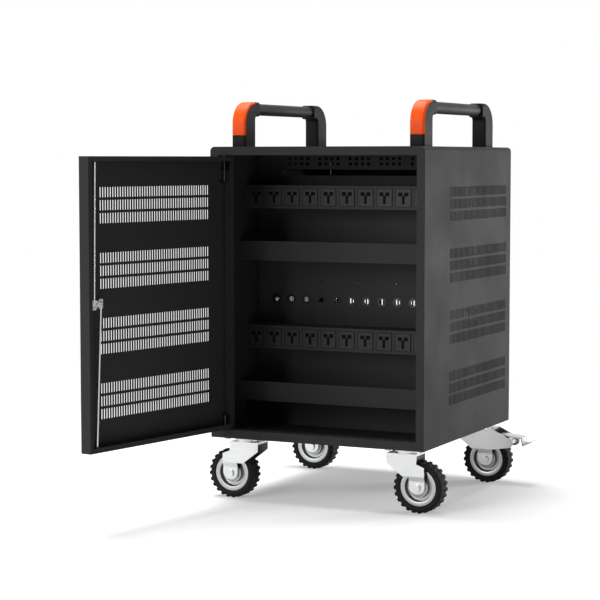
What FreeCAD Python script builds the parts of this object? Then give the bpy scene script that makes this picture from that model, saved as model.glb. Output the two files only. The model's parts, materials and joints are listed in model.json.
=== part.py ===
import FreeCAD, Part
import math
import os
import re
import Sketcher

# Charging cabinet on casters: a power compartment in front with trays and socket rails,
# a device compartment behind, a slotted door on each, two handles on top.
# Millimetres, +Z up, +X right, the front faces -Y, origin on the floor under the middle.

# Driving sizes
SIZES = {
    # case
    "cabinet_width": 600,
    "cabinet_depth": 640,
    "cabinet_height": 760,
    "caster_height": 166,
    "sheet": 1.5,
    "frame_width": 22,
    "flange_depth": 30,
    "panel_flange": 14,
    "cover_round": 12,
    # doors
    "door_gap": 3,
    "door_thickness": 30,
    "door_lip": 12,
    "door_open_angle": 101,
    "pivot_inset": 12,
    "pivot_setback": 8,
    "pin_diameter": 6,
    "pin_reach": 8,
    "pin_drop": 66,
    "pin_grip": 16,
    "running_gap": 0.05,
    "bracket_height": 34,
    "bracket_plate": 2,
    # door lock
    "lock_inset": 41,
    "lock_height": 381,
    "lock_barrel": 20,
    "lock_bezel": 26,
    "lock_nut": 9,
    "cam_throw": 13.5,
    "cam_swing": 60,
    "cam_width": 12,
    "cam_plate": 2.5,
    "cam_pin": 4,
    "rod_diameter": 6,
    "rod_inset": 35,
    "rod_start": 13,
    "eye_plate": 2,
    "guide_size": 18,
    "guide_height": 12,
    "guide_gap": 1,
    # ventilation slots
    "slot_width": 4.2,
    "slot_pitch": 9,
    "slot_height": 24.5,
    "slot_row_pitch": 31.2,
    "vent_rows": 3,
    "vent_groups": 4,
    "vent_group_pitch": 158,
    "vent_base": 100,
    "side_vent_drop": 4,
    "rear_vent_lift": 18,
    "door_vent_margin": 69,
    "side_vent_front": 173,
    "side_vent_back": 37,
    "left_vent_front": 310,
    # power compartment
    "divider_setback": 280,
    "tray_setback": 160,
    "tray_lip": 52,
    "tray_base": 81,
    "tray_spacing": 377,
    "leg_width": 12,
    "rail_setback": 200,
    "rail_height": 62,
    "rail_base": 219,
    "socket_pitch": 53.5,
    "socket_width": 42,
    "socket_height": 45,
    "socket_depth": 24,
    "socket_proud": 1.5,
    "socket_mark": 1.2,
    "cable_pitch": 44.6,
    "cable_count": 12,
    "cable_bore": 15,
    "cable_height": 348,
    "grommet_wall": 2.5,
    "grommet_rim": 2,
    "long_slot_length": 460,
    "long_slot_height": 16,
    "long_slot_base": 684,
    "grid_hole": 9,
    "grid_pitch": 17.7,
    "grid_row_pitch": 14,
    "grid_group_pitch": 89.6,
    "grid_base": 711,
    "screw_head": 8,
    "screw_pitch": 110,
    "screw_rise": 50,
    # device compartment
    "shelf_base": 45,
    "shelf_rise": 42,
    "shelf_setback": 40,
    "bay_count": 6,
    "bay_plate": 2,
    "bay_height": 240,
    # power inlet on the left side
    "inlet_setback": 90,
    "inlet_height": 55,
    "inlet_width": 28,
    "inlet_tall": 24,
    "inlet_depth": 30,
    "inlet_well": 18,
    "inlet_wall": 2,
    "inlet_flange": 3,
    "switch_width": 16,
    "switch_depth": 14,
    "switch_well": 10,
    "switch_wall": 1,
    "switch_gap": 0.6,
    "switch_room": 1.6,
    "switch_pivot": 3,
    "switch_pin": 3,
    # handles
    "handle_inset": 28.5,
    "handle_length": 511,
    "handle_height": 118,
    "handle_width": 41,
    "handle_leg": 63,
    "handle_arm": 86,
    "handle_collar": 38,
    "handle_bend": 58,
    "handle_inner_bend": 10,
    "handle_round": 8,
    "grip_diameter": 31,
    "cover_thickness": 6,
    "cover_start": 30,
    # casters
    "caster_inset_x": 71,
    "caster_inset_y": 68,
    "caster_trail": 36,
    "caster_plate_x": 100,
    "caster_plate_y": 86,
    "caster_plate": 4,
    "race_diameter": 64,
    "race_height": 9.7,
    "race_gap": 0.3,
    "crown_plate": 5,
    "kingpin_diameter": 14,
    "kingpin_head": 24,
    "wheel_diameter": 132,
    "tyre_width": 42,
    "tyre_round": 7,
    "rim_diameter": 98,
    "rim_lip": 14,
    "rim_width": 36,
    "hub_diameter": 52,
    "hub_length": 46,
    "web_thickness": 14,
    "axle_diameter": 12,
    "axle_head": 19,
    "axle_head_height": 6,
    "cheek_gap": 1.5,
    "cheek_plate": 3,
    "cheek_end": 21,
    "cheek_drop": 16,
    "cheek_waist": 29,
    "cheek_bend": 12,
    "cheek_step": 4,
    "cheek_ledge": 18,
    "fork_back": 46,
    "fork_front": 36,
    "fork_skirt": 24,
    "fork_notch": 25,
    "fork_shoulder": 8,
    "bolt_diameter": 8,
    "bolt_head": 14,
    "bolt_head_height": 5,
    "bolt_inset": 10,
    # caster brake
    "pedal_pivot_x": 103,
    "pedal_pivot_drop": 36,
    "pedal_ear": 14,
    "pedal_front": 29,
    "pedal_rise": 20,
    "pedal_back": 36,
    "pedal_slope": 5.3,
    "pedal_dip": 20,
    "pedal_lean": 4,
    "pedal_toe": 24,
    "pedal_kick": 12,
    "pedal_width": 46,
    "pedal_plate": 4,
    "pedal_eye": 7,
    "pedal_pin": 8,
}

# Places worked out from the driving sizes
PLACES = {
    "half_width": "cabinet_width / 2",
    "half_depth": "cabinet_depth / 2",
    "bottom": "caster_height",
    "top": "caster_height + cabinet_height",
    "header": "caster_height + cabinet_height - frame_width",
    "sill": "caster_height + frame_width",
    "floor_top": "caster_height + sheet",
    "inner_x": "cabinet_width / 2 - sheet",
    "inner_y": "cabinet_depth / 2 - sheet",
    "opening_x": "cabinet_width / 2 - frame_width",
    "divider_y": "divider_setback - cabinet_depth / 2",
    "tray_y": "tray_setback - cabinet_depth / 2",
    "rail_y": "rail_setback - cabinet_depth / 2",
    "pivot_x": "frame_width + door_gap + pivot_inset - cabinet_width / 2",
    "pivot_y": "pivot_setback - cabinet_depth / 2",
    "door_width": "cabinet_width - 2 * frame_width - 2 * door_gap",
    "door_left": "-pivot_inset",
    "door_right": "cabinet_width - 2 * frame_width - 2 * door_gap - pivot_inset",
    "door_face": "-pivot_setback",
    "door_back": "door_thickness - pivot_setback",
    "door_low": "caster_height + frame_width + door_gap",
    "door_high": "caster_height + cabinet_height - frame_width - door_gap",
    "skin_back": "sheet - pivot_setback",
    "lock_x": "cabinet_width - 2 * frame_width - 2 * door_gap - pivot_inset - lock_inset",
    "lock_z": "caster_height + lock_height",
    "rod_end_x": "cabinet_width - 2 * frame_width - 2 * door_gap - pivot_inset - rod_inset",
    "cam_y": "pivot_setback - 1.5",
    "wheel_radius": "wheel_diameter / 2",
    "swivel_x": "cabinet_width / 2 - caster_inset_x",
    "swivel_y": "cabinet_depth / 2 - caster_inset_y",
    "race_low": "caster_height - caster_plate - race_height",
    "crown_top": "caster_height - caster_plate - race_height - race_gap",
    "crown_low": "caster_height - caster_plate - race_height - race_gap - crown_plate",
    "cheek_inner": "hub_length / 2 + cheek_gap",
    "cheek_outer": "hub_length / 2 + cheek_gap + cheek_plate",
    "crown_half": "hub_length / 2 + cheek_gap + cheek_plate + cheek_step",
    "rod_y": "pivot_setback - 1.5 + cam_plate + eye_plate / 2 + 0.4",
    "upper_shelf": "caster_height + cable_height + shelf_rise",
}

X_AXIS = FreeCAD.Vector(1, 0, 0)
Y_AXIS = FreeCAD.Vector(0, 1, 0)
Z_AXIS = FreeCAD.Vector(0, 0, 1)

doc = FreeCAD.newDocument("charging_cabinet")
sizes = doc.addObject("Spreadsheet::Sheet", "sizes")
places = doc.addObject("Spreadsheet::Sheet", "places")
nodes = []


def bind(text, names=(SIZES, PLACES)):
    """Point every size name in a formula at its cell."""
    def refer(match):
        word = match.group()
        for table, sheet_name in ((SIZES, "sizes"), (PLACES, "places")):
            if word in table and table in names:
                return f"{sheet_name}.{word}"
        return word
    return re.sub(r"[a-z][a-z_]*", refer, str(text))


def fill_sheets():
    for row, (alias, number) in enumerate(SIZES.items(), start=1):
        sizes.set(f"A{row}", str(number))
        sizes.setAlias(f"A{row}", alias)
    doc.recompute()
    for row, (alias, formula) in enumerate(PLACES.items(), start=1):
        places.set(f"A{row}", "=" + bind(formula, (SIZES,)))
        places.setAlias(f"A{row}", alias)
    doc.recompute()


class Values:
    """Numbers read back from the two sheets."""

    def __getattr__(self, name):
        return float(getattr(sizes if name in SIZES else places, name))


size = Values()


def set_place(thing, at, turn=0):
    for axis, formula in zip("xyz", at):
        thing.setExpression(f"Placement.Base.{axis}", bind(formula))
    if turn != 0:
        thing.Placement = FreeCAD.Placement(FreeCAD.Vector(), FreeCAD.Rotation(Z_AXIS, 1))
        thing.setExpression("Placement.Rotation.Angle", bind(turn))


def box(low, high):
    """A block between two corners, each given as three formulas."""
    block = doc.addObject("Part::Box", "block")
    for side, start, end in zip(("Length", "Width", "Height"), low, high):
        block.setExpression(side, f"({bind(end)}) - ({bind(start)})")
    set_place(block, low)
    return block


def rod(radius, low, height, axis="z"):
    """A round bar from its low end along one axis."""
    bar = doc.addObject("Part::Cylinder", "bar")
    turns = {"z": FreeCAD.Rotation(), "y": FreeCAD.Rotation(X_AXIS, -90), "x": FreeCAD.Rotation(Y_AXIS, 90)}
    bar.Placement = FreeCAD.Placement(FreeCAD.Vector(), turns[axis])
    bar.setExpression("Radius", bind(radius))
    bar.setExpression("Height", bind(height))
    set_place(bar, low)
    return bar


def fuse(*shapes, refine=True):
    joined = doc.addObject("Part::MultiFuse", "joined")
    joined.Shapes = list(shapes)
    joined.Refine = refine
    return joined


def cut(base, *tools):
    result = doc.addObject("Part::Cut", "cut_piece")
    result.Base = base
    result.Tool = tools[0] if len(tools) == 1 else group(*tools)
    return result


def group(*shapes):
    held = doc.addObject("Part::Compound", "set_of_pieces")
    held.Links = list(shapes)
    return held


def made(shape):
    """A shape worked out from the sheet's numbers by code."""
    thing = doc.addObject("Part::Feature", "made_piece")
    thing.Shape = shape
    return thing


def copies(source, offsets):
    """Separate copies of one piece at several offsets."""
    doc.recompute()
    shapes = []
    for offset in offsets:
        shape = source.Shape.copy()
        shape.translate(FreeCAD.Vector(*offset))
        shapes.append(shape)
    return made(Part.makeCompound(shapes))


def node(label, thing, at=None, turn=0):
    """Name a finished piece and set where it stands."""
    thing.Label = label
    if at is not None:
        set_place(thing, at, turn)
    nodes.append(thing)
    return thing


def origin_plane(body, role):
    return next(item for item in body.Origin.OriginFeatures if item.Role == role)


def outline_sketch(body, role, points):
    """A closed outline whose corners are bound to formulas."""
    sketch = body.newObject("Sketcher::SketchObject", "outline")
    sketch.AttachmentSupport = [(origin_plane(body, role), "")]
    sketch.MapMode = "FlatFace"
    corners = []
    for pair in points:
        corners.append(FreeCAD.Vector(evaluate(pair[0]), evaluate(pair[1]), 0))
    for index, start in enumerate(corners):
        end = corners[(index + 1) % len(corners)]
        sketch.addGeometry(Part.LineSegment(start, end), False)
    count = len(corners)
    for index in range(count):
        sketch.addConstraint(Sketcher.Constraint("Coincident", index, 2, (index + 1) % count, 1))
    for index, pair in enumerate(points):
        for kind, formula, number in zip(("DistanceX", "DistanceY"), pair, corners[index][:2]):
            sketch.addConstraint(Sketcher.Constraint(kind, -1, 1, index, 1, number))
            place = sketch.ConstraintCount - 1
            sketch.setExpression(f"Constraints[{place}]", bind(formula))
    return sketch


def evaluate(formula):
    """The number that a formula gives with the present sizes."""
    words = {name: getattr(size, name) for name in (*SIZES, *PLACES)}
    text = re.sub(r"[a-z][a-z_]*", lambda match: repr(words[match.group()]), str(formula))
    return float(FreeCAD.Units.Quantity(text).Value)


def padded(role, points, length, middle=False):
    """A body made by padding one outline."""
    body = doc.addObject("PartDesign::Body", "body")
    sketch = outline_sketch(body, role, points)
    pad = body.newObject("PartDesign::Pad", "pad")
    pad.Profile = sketch
    pad.setExpression("Length", bind(length))
    pad.Midplane = middle
    return body


def turned(points):
    """A body turned about its own Y axis from a half outline in radius and place."""
    body = doc.addObject("PartDesign::Body", "body")
    sketch = outline_sketch(body, "XY_Plane", points)
    turn = body.newObject("PartDesign::Revolution", "turn")
    turn.Profile = sketch
    turn.ReferenceAxis = (sketch, ["V_Axis"])
    turn.Angle = 360
    return body


def rectangle(low, high, hole=False):
    """A closed upright rectangle from two opposite corners; a hole runs the other way round."""
    (x0, y0, z0), (x1, y1, z1) = low, high
    corners = [(x0, y0, z0), (x1, y1, z0), (x1, y1, z1), (x0, y0, z1), (x0, y0, z0)]
    if hole:
        corners.reverse()
    return Part.makePolygon([FreeCAD.Vector(*corner) for corner in corners])


def slot_starts(low, high, pitch, width):
    """Evenly spread slots that fill a stretch."""
    count = int((high - low - width) // pitch) + 1
    first = (low + high - (count - 1) * pitch - width) / 2
    return [first + index * pitch for index in range(count)]


def slotted_sheet(at, outline, starts, base, holes, thickness):
    """Pieces of a slotted sheet: a frame with windows and one strip for each row of slots.

    at turns a place along the sheet and a height into a point; outline is its low and high corner.
    """
    side = (size.slot_pitch - size.slot_width) / 2
    bar = size.slot_row_pitch - size.slot_height
    left = starts[0] - side
    right = starts[-1] + size.slot_width + side
    windows = []
    strips = []
    for group_index in range(int(size.vent_groups)):
        foot = base + group_index * size.vent_group_pitch - bar / 2
        head = foot + int(size.vent_rows) * size.slot_row_pitch
        windows.append(rectangle(at(left, foot), at(right, head), hole=True))
        for row in range(int(size.vent_rows)):
            low = foot + row * size.slot_row_pitch
            slots = []
            for start in starts:
                corner = at(start, low + bar / 2)
                end = at(start + size.slot_width, low + bar / 2 + size.slot_height)
                slots.append(rectangle(corner, end, hole=True))
            strip = rectangle(at(left, low), at(right, low + size.slot_row_pitch))
            strips.append(Part.Face([strip] + slots))
    for low, high in holes:
        windows.append(rectangle(at(*low), at(*high), hole=True))
    frame = Part.Face([rectangle(at(*outline[0]), at(*outline[1]))] + windows)
    return [made(face.extrude(thickness)) for face in [frame] + strips]


fill_sheets()


# Case
def build_base():
    floor_plate = box(("-inner_x", "-inner_y", "bottom"), ("inner_x", "inner_y", "floor_top"))
    pieces = [floor_plate]
    for side in ("-", ""):
        near, inside = ("-half_depth", "-inner_y") if side else ("inner_y", "half_depth")
        pieces.append(box(("-opening_x", near, "bottom"), ("opening_x", inside, "sill")))
        low = "-half_depth" if side else "half_depth - flange_depth"
        high = f"{low} + flange_depth"
        pieces.append(box(("-opening_x", low, "sill - sheet"), ("opening_x", high, "sill")))
    for wall in (("-inner_x", "sheet - inner_x"), ("inner_x - sheet", "inner_x")):
        pieces.append(box((wall[0], "-inner_y", "bottom"), (wall[1], "inner_y", "sill")))
    holes = []
    for x_side in ("", "-"):
        for y_side in ("", "-"):
            for bolt_x in ("+ caster_plate_x / 2 - bolt_inset", "- caster_plate_x / 2 + bolt_inset"):
                for bolt_y in ("+ caster_plate_y / 2 - bolt_inset", "- caster_plate_y / 2 + bolt_inset"):
                    at = (f"{x_side}swivel_x {bolt_x}", f"{y_side}swivel_y {bolt_y}", "bottom - sheet")
                    holes.append(rod("bolt_diameter / 2 + running_gap", at, "3 * sheet"))
    holes += frame_holes("sill - 2 * sheet")
    return node("base_pan", cut(fuse(*pieces), *holes))


def frame_holes(level):
    """Holes in a frame flange for the hinge pin and the lock rod of both doors."""
    holes = []
    for side in ("", "-"):
        at = (f"{side}(pivot_x)", f"{side}(pivot_y)", level)
        holes.append(rod("pin_diameter / 2 + running_gap", at, "4 * sheet"))
        at = (f"{side}(pivot_x + rod_end_x)", f"{side}(pivot_y + rod_y)", level)
        holes.append(rod("rod_diameter", at, "4 * sheet"))
    return holes


def build_side(side):
    """A slotted side with a folded stile at each end and a folded top edge."""
    inner = side * size.inner_x
    front = (size.side_vent_front if side > 0 else size.left_vent_front) - size.half_depth
    back = size.half_depth - size.side_vent_back
    starts = slot_starts(front, back, size.slot_pitch, size.slot_width)
    outline = ((-size.half_depth, size.bottom), (size.half_depth, size.header))
    holes = inlet_windows() if side < 0 else []
    base = size.bottom + size.vent_base - size.side_vent_drop
    thickness = FreeCAD.Vector(side * size.sheet, 0, 0)
    pieces = slotted_sheet(lambda y, z: (inner, y, z), outline, starts, base, holes, thickness)

    def across(near, far):
        return (near, far) if side > 0 else (f"-({far})", f"-({near})")
    stile = across("opening_x", "inner_x")
    fold = across("opening_x", "opening_x + sheet")
    shelf = across("half_width - panel_flange", "inner_x")
    for face, depth in ((("-half_depth", "-inner_y"), ("-inner_y", "panel_flange - half_depth")),
                        (("inner_y", "half_depth"), ("half_depth - panel_flange", "inner_y"))):
        pieces.append(box((stile[0], face[0], "bottom"), (stile[1], face[1], "header")))
        pieces.append(box((fold[0], depth[0], "sill"), (fold[1], depth[1], "header")))
    pieces.append(box((shelf[0], "-inner_y", "header - sheet"), (shelf[1], "inner_y", "header")))
    label = "right_side_panel" if side > 0 else "left_side_panel"
    return node(label, fuse(*pieces, refine=False))


def inlet_windows():
    """Windows in the left side for the power inlet and its switch: low and high corner of each."""
    y_mid = size.half_depth - size.inlet_setback
    z_low = size.bottom + size.inlet_height
    inlet = ((y_mid - size.inlet_width / 2, z_low), (y_mid + size.inlet_width / 2, z_low + size.inlet_tall))
    start = y_mid + size.inlet_width / 2 + size.switch_width / 2
    switch = ((start, z_low), (start + size.switch_width, z_low + size.inlet_tall))
    return [inlet, switch]


def build_cover():
    """Folded top cover with rounded sides and a flange under each end for pins and rods."""
    body = padded("XY_Plane", [("-half_width", "-half_depth"), ("half_width", "-half_depth"),
                               ("half_width", "half_depth"), ("-half_width", "half_depth")], "frame_width")
    doc.recompute()
    pad = body.Tip
    soft = []
    for index, edge in enumerate(pad.Shape.Edges, start=1):
        if edge.BoundBox.ZMin > size.frame_width / 2 and edge.BoundBox.YLength > size.half_depth:
            soft.append(f"Edge{index}")
    fillet = body.newObject("PartDesign::Fillet", "rounding")
    fillet.Base = (pad, soft)
    fillet.setExpression("Radius", bind("cover_round"))
    doc.recompute()
    under = [f"Face{index}" for index, face in enumerate(fillet.Shape.Faces, start=1)
             if face.BoundBox.ZMax < size.sheet / 2]
    hollow = body.newObject("PartDesign::Thickness", "hollow")
    hollow.Base = (fillet, under)
    hollow.setExpression("Value", bind("sheet"))
    hollow.Reversed = True
    set_place(body, (0, 0, "header"))
    pieces = [body]
    for low, high in (("sheet - half_depth", "flange_depth - half_depth"),
                      ("half_depth - flange_depth", "half_depth - sheet")):
        pieces.append(box(("-opening_x", low, "header"), ("opening_x", high, "header + sheet")))
    return node("top_cover", cut(fuse(*pieces), *frame_holes("header - sheet")))


# Power compartment
def cable_places():
    first = -(size.cable_count - 1) * size.cable_pitch / 2
    return [first + index * size.cable_pitch for index in range(int(size.cable_count))]


def build_divider():
    """Upright sheet between the compartments, with cable holes and air holes."""
    y = size.divider_y
    outer = rectangle((-size.inner_x, y, size.floor_top), (size.inner_x, y, size.top - size.sheet))
    holes = []
    half = size.long_slot_length / 2
    low = size.bottom + size.long_slot_base
    holes.append(rectangle((-half, y, low), (half, y, low + size.long_slot_height), hole=True))
    for group_index in range(-2, 3):
        for column in range(4):
            x = group_index * size.grid_group_pitch + (column - 1.5) * size.grid_pitch - size.grid_hole / 2
            for row in range(2):
                z = size.bottom + size.grid_base + row * size.grid_row_pitch
                holes.append(rectangle((x, y, z), (x + size.grid_hole, y, z + size.grid_hole - 1), hole=True))
    for x in cable_places():
        centre = FreeCAD.Vector(x, y, size.bottom + size.cable_height)
        ring = Part.makeCircle(size.cable_bore / 2 + size.grommet_wall, centre, Y_AXIS)
        holes.append(Part.Wire(ring))
    skin = made(Part.Face([outer] + holes).extrude(FreeCAD.Vector(0, size.sheet, 0)))
    corner = "panel_flange + cover_round"
    notches = []
    for low, high in (("-inner_x", f"{corner} - half_width"), (f"half_width - ({corner})", "inner_x")):
        for foot, head in (("header - sheet", "top"), ("floor_top", "sill")):
            notches.append(box((low, "divider_y - sheet", foot), (high, "divider_y + 2 * sheet", head)))
    node("divider_panel", cut(skin, *notches))
    ring = turned([("cable_bore / 2", "-grommet_rim"), ("cable_bore / 2 + 2 * grommet_wall", "-grommet_rim"),
                   ("cable_bore / 2 + 2 * grommet_wall", 0), ("cable_bore / 2 + grommet_wall", 0),
                   ("cable_bore / 2 + grommet_wall", "sheet"), ("cable_bore / 2 + 2 * grommet_wall", "sheet"),
                   ("cable_bore / 2 + 2 * grommet_wall", "sheet + grommet_rim"),
                   ("cable_bore / 2", "sheet + grommet_rim")])
    z = size.bottom + size.cable_height
    node("cable_grommets", copies(ring, [(x, y, z) for x in cable_places()]))
    screw = turned([(0, "-0.4 * screw_head"), ("0.3 * screw_head", "-0.4 * screw_head"),
                    ("screw_head / 2", "-0.15 * screw_head"), ("screw_head / 2", 0), (0, 0)])
    z = size.bottom + size.cable_height + size.screw_rise
    node("divider_screws", copies(screw, [(index * size.screw_pitch, y, z) for index in range(-2, 3)]))


def build_tray(label, level):
    """Adapter tray: front lip, floor and a back edge on the divider."""
    level = f"bottom + tray_base + {level}"
    edge, lip, floor = f"{level} + frame_width", f"{level} + tray_lip", f"{level} + sheet"
    outline = [("tray_y", level), ("divider_y", level), ("divider_y", edge), ("divider_y - sheet", edge),
               ("divider_y - sheet", floor), ("tray_y + sheet", floor),
               ("tray_y + sheet", lip), ("tray_y", lip)]
    return node(label, padded("YZ_Plane", outline, "2 * inner_x", middle=True))


# Slots of one socket: left, right, foot and head, as shares of its width and height from its middle
SOCKET_MARKS = ((-0.34, -0.06, 0.1, 0.32), (0.06, 0.34, 0.1, 0.32), (-0.09, 0.09, -0.36, 0.12))


def build_rail(label, sockets_label, level):
    """Folded socket rail across the compartment, with its row of sockets."""
    low = f"bottom + rail_base + {level}"
    high = f"bottom + rail_base + {level} + rail_height"
    shell = cut(box(("-inner_x", "rail_y", low), ("inner_x", "divider_y", high)),
                box(("-inner_x - 1", "rail_y + sheet", f"{low} + sheet"),
                    ("inner_x + 1", "divider_y + 1", f"{high} - sheet")))
    count = int((2 * size.inner_x - size.socket_width) // size.socket_pitch)
    count += 1
    starts = [(index - (count - 1) / 2) * size.socket_pitch for index in range(count)]
    middle = f"{low} + rail_height / 2"
    window = box(("-socket_width / 2", "rail_y - 1", f"{middle} - socket_height / 2"),
                 ("socket_width / 2", "rail_y + sheet + 1", f"{middle} + socket_height / 2"))
    windows = copies(window, [(x, 0, 0) for x in starts])
    node(label, cut(shell, windows))
    module = fuse(
        box(("-socket_width / 2", "rail_y - socket_proud", f"{middle} - socket_height / 2"),
            ("socket_width / 2", "rail_y + socket_depth", f"{middle} + socket_height / 2")),
        box(("-socket_width / 2 - 1", "rail_y - socket_proud", f"{middle} - socket_height / 2 - 1"),
            ("socket_width / 2 + 1", "rail_y", f"{middle} + socket_height / 2 + 1")))
    marks = []
    for left, right, foot, head in SOCKET_MARKS:
        foot, head = f"{middle} + {foot} * socket_height", f"{middle} + {head} * socket_height"
        marks.append(box((f"{left} * socket_width", "rail_y - socket_proud - 1", foot),
                         (f"{right} * socket_width", "rail_y - socket_proud + socket_mark", head)))
    node(sockets_label, copies(cut(module, *marks), [(x, 0, 0) for x in starts]))


def build_legs():
    """Short angles that stand on the floor and carry the lower tray."""
    legs = []
    for near, far in (("-inner_x + sheet", "-inner_x + sheet + leg_width"),
                      ("inner_x - sheet - leg_width", "inner_x - sheet")):
        post = box((near, "tray_y", "floor_top"), (far, "tray_y + sheet", "bottom + tray_base"))
        foot = box((near, "tray_y", "floor_top"), (far, "tray_y + leg_width", "floor_top + sheet"))
        legs.append(fuse(post, foot))
    return node("tray_legs", group(*legs))


# Device compartment
def build_shelves():
    shelves = []
    for level in ("bottom + shelf_base", "upper_shelf"):
        back, front = "half_depth - shelf_setback", "divider_y + sheet"
        edge, floor = f"{level} + panel_flange", f"{level} + sheet"
        outline = [(front, level), (back, level), (back, edge), (f"{back} - sheet", edge),
                   (f"{back} - sheet", floor), (f"{front} + sheet", floor),
                   (f"{front} + sheet", edge), (front, edge)]
        shelves.append(padded("YZ_Plane", outline, "2 * inner_x", middle=True))
    node("device_shelves", group(*shelves))
    foot = "bottom + shelf_base + sheet"
    plate = box(("-bay_plate / 2", "divider_y + 3 * sheet", foot),
                ("bay_plate / 2", "half_depth - shelf_setback - 2 * sheet", f"{foot} + bay_height"))
    pitch = 2 * size.inner_x / size.bay_count
    spots = [(index - size.bay_count / 2) * pitch for index in range(1, int(size.bay_count))]
    levels = (0, size.upper_shelf - size.bottom - size.shelf_base)
    node("device_dividers", copies(plate, [(x, 0, level) for level in levels for x in spots]))


# Power inlet on the left side
def build_inlet():
    """Power inlet with its contacts, and a rocker switch on two trunnions in the same plate."""
    inlet, switch = inlet_windows()
    (y0, z0), (y1, z1) = inlet
    (sy0, sz0), (sy1, sz1) = switch
    wall, flange, well = -size.half_width, size.inlet_flange, size.inlet_well

    def block(x0, x1, low, high, grow=0.0):
        corner = FreeCAD.Vector(x0, low[0] - grow, low[1] - grow)
        return Part.makeBox(x1 - x0, high[0] - low[0] + 2 * grow, high[1] - low[1] + 2 * grow, corner)

    def cross_pin(diameter, start, length):
        centre = FreeCAD.Vector(wall + size.switch_pivot, start, (sz0 + sz1) / 2)
        return Part.makeCylinder(diameter / 2, length, centre, Y_AXIS)
    body = block(wall, wall + size.inlet_depth, *inlet)
    plate = block(wall - flange, wall, (y0, z0), (sy1, sz1), flange)
    rocker_box = block(wall, wall + size.switch_depth, *switch)
    hollows = [block(wall - 2 * flange, wall + well, *inlet, -size.inlet_wall),
               block(wall - 2 * flange, wall + size.switch_well, *switch, -size.switch_wall),
               cross_pin(size.switch_pin + 2 * size.running_gap, sy0 - 1, size.switch_width + 2)]
    contacts = []
    for place in (0.25, 0.5, 0.75):
        y = y0 + place * (y1 - y0)
        z = (z0 + z1) / 2 + (3 if place == 0.5 else -3)
        contacts.append(Part.makeBox(well, 2, 4, FreeCAD.Vector(wall, y - 1, z - 2)))
    housing = plate.fuse([body, rocker_box]).cut(Part.makeCompound(hollows)).fuse(contacts)
    node("power_inlet", made(housing.removeSplitter()))
    reach = (sz1 - sz0) / 2 - size.switch_wall - size.switch_room
    start = sy0 + size.switch_wall + size.switch_gap
    profile = [(wall + 4, reach * 0.8), (wall - flange - 1, reach), (wall - flange + 1, 0),
               (wall - flange + 0.6, -reach), (wall + 4, -reach * 0.8)]
    points = [FreeCAD.Vector(x, start, (sz0 + sz1) / 2 + z) for x, z in profile]
    rocker = Part.Face(Part.makePolygon(points + points[:1])).extrude(Y_AXIS * (sy1 - sy0 - 2 * (start - sy0)))
    node("power_switch", made(rocker.fuse(cross_pin(size.switch_pin, sy0, size.switch_width)).removeSplitter()))


# Doors
def build_door(name, place, vent_lift):
    """One slotted door with its hinge brackets, sprung pin and rod lock, about its own pivot."""
    at, turn = place
    outline = ((size.door_left, size.door_low), (size.door_right, size.door_high))
    low = size.door_left + size.door_vent_margin
    high = size.door_right - size.door_vent_margin
    starts = slot_starts(low, high, size.slot_pitch, size.slot_width)
    barrel = size.lock_barrel / 2
    holes = [((size.lock_x - barrel, size.lock_z - barrel), (size.lock_x + barrel, size.lock_z + barrel))]
    base = size.bottom + size.vent_base + vent_lift
    thickness = FreeCAD.Vector(0, size.sheet, 0)
    pieces = slotted_sheet(lambda x, z: (x, size.door_face, z), outline, starts, base, holes, thickness)
    left, right, back = "door_left", "door_right", "door_back"
    for near, far, lip in ((left, f"{left} + sheet", (left, f"{left} + door_lip")),
                           (f"{right} - sheet", right, (f"{right} - door_lip", right))):
        pieces.append(box((near, "skin_back", "door_low"), (far, back, "door_high")))
        pieces.append(box((lip[0], f"{back} - sheet", "door_low"), (lip[1], back, "door_high")))
    for near, far, lip in (("door_low", "door_low + sheet", ("door_low", "door_low + door_lip")),
                           ("door_high - sheet", "door_high", ("door_high - door_lip", "door_high"))):
        pin_notch = box(("-pin_diameter", "0.1 - pin_diameter", f"{near} - 1"),
                        ("pin_diameter", "pin_diameter", f"{far} + 1"))
        rod_notch = box(("rod_end_x - rod_diameter", "rod_y - rod_diameter", f"{near} - 1"),
                        ("rod_end_x + rod_diameter", "rod_y + rod_diameter", f"{far} + 1"))
        flange = box((left, "skin_back", near), (right, back, far))
        pieces.append(cut(flange, pin_notch, rod_notch))
        pieces.append(box((left, f"{back} - sheet", lip[0]), (right, back, lip[1])))
    node(f"{name}_panel", fuse(*pieces, refine=False), at, turn)
    build_hinge(name, at, turn)
    build_lock(name, at, turn)


def build_hinge(name, at, turn):
    """Two pressed brackets in the hinge edge, a fixed pin below and a sprung pin above."""
    brackets = []
    edge = "door_left + sheet"
    reach = "pin_diameter + 2"
    for low, high in (("door_low + sheet", "door_low + sheet + bracket_height"),
                      ("door_high - sheet - bracket_height", "door_high - sheet")):
        plate = box((edge, "skin_back", low), (f"{edge} + bracket_plate", reach, high))
        tabs = [box((edge, "skin_back", low), (reach, reach, f"{low} + bracket_plate")),
                box((edge, "skin_back", f"{high} - bracket_plate"), (reach, reach, high))]
        hole = rod("pin_diameter / 2 + running_gap", (0, 0, f"{low} - 1"), "bracket_height + 2")
        brackets.append(cut(fuse(plate, *tabs), hole))
    stem = rod("pin_diameter / 2", (0, 0, "sill - pin_reach"), "pin_reach + door_gap + sheet + bracket_height")
    foot = fuse(stem, rod("pin_diameter / 2 + 2", (0, 0, "door_low + sheet + bracket_plate"), "3"))
    node(f"{name}_hinge_brackets", group(*brackets, foot), at, turn)
    shaft = rod("pin_diameter / 2", (0, 0, "door_high - pin_drop"), "pin_drop + door_gap + pin_reach")
    collar = rod("pin_diameter / 2 + 2", (0, 0, "door_high - sheet - bracket_plate - 10"), "3")
    grip = rod("pin_diameter / 2", ("-pin_diameter / 2", 0, "door_high - pin_drop"), "pin_grip", "x")
    node(f"{name}_sprung_pin", fuse(shaft, collar, grip), at, turn)


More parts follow.
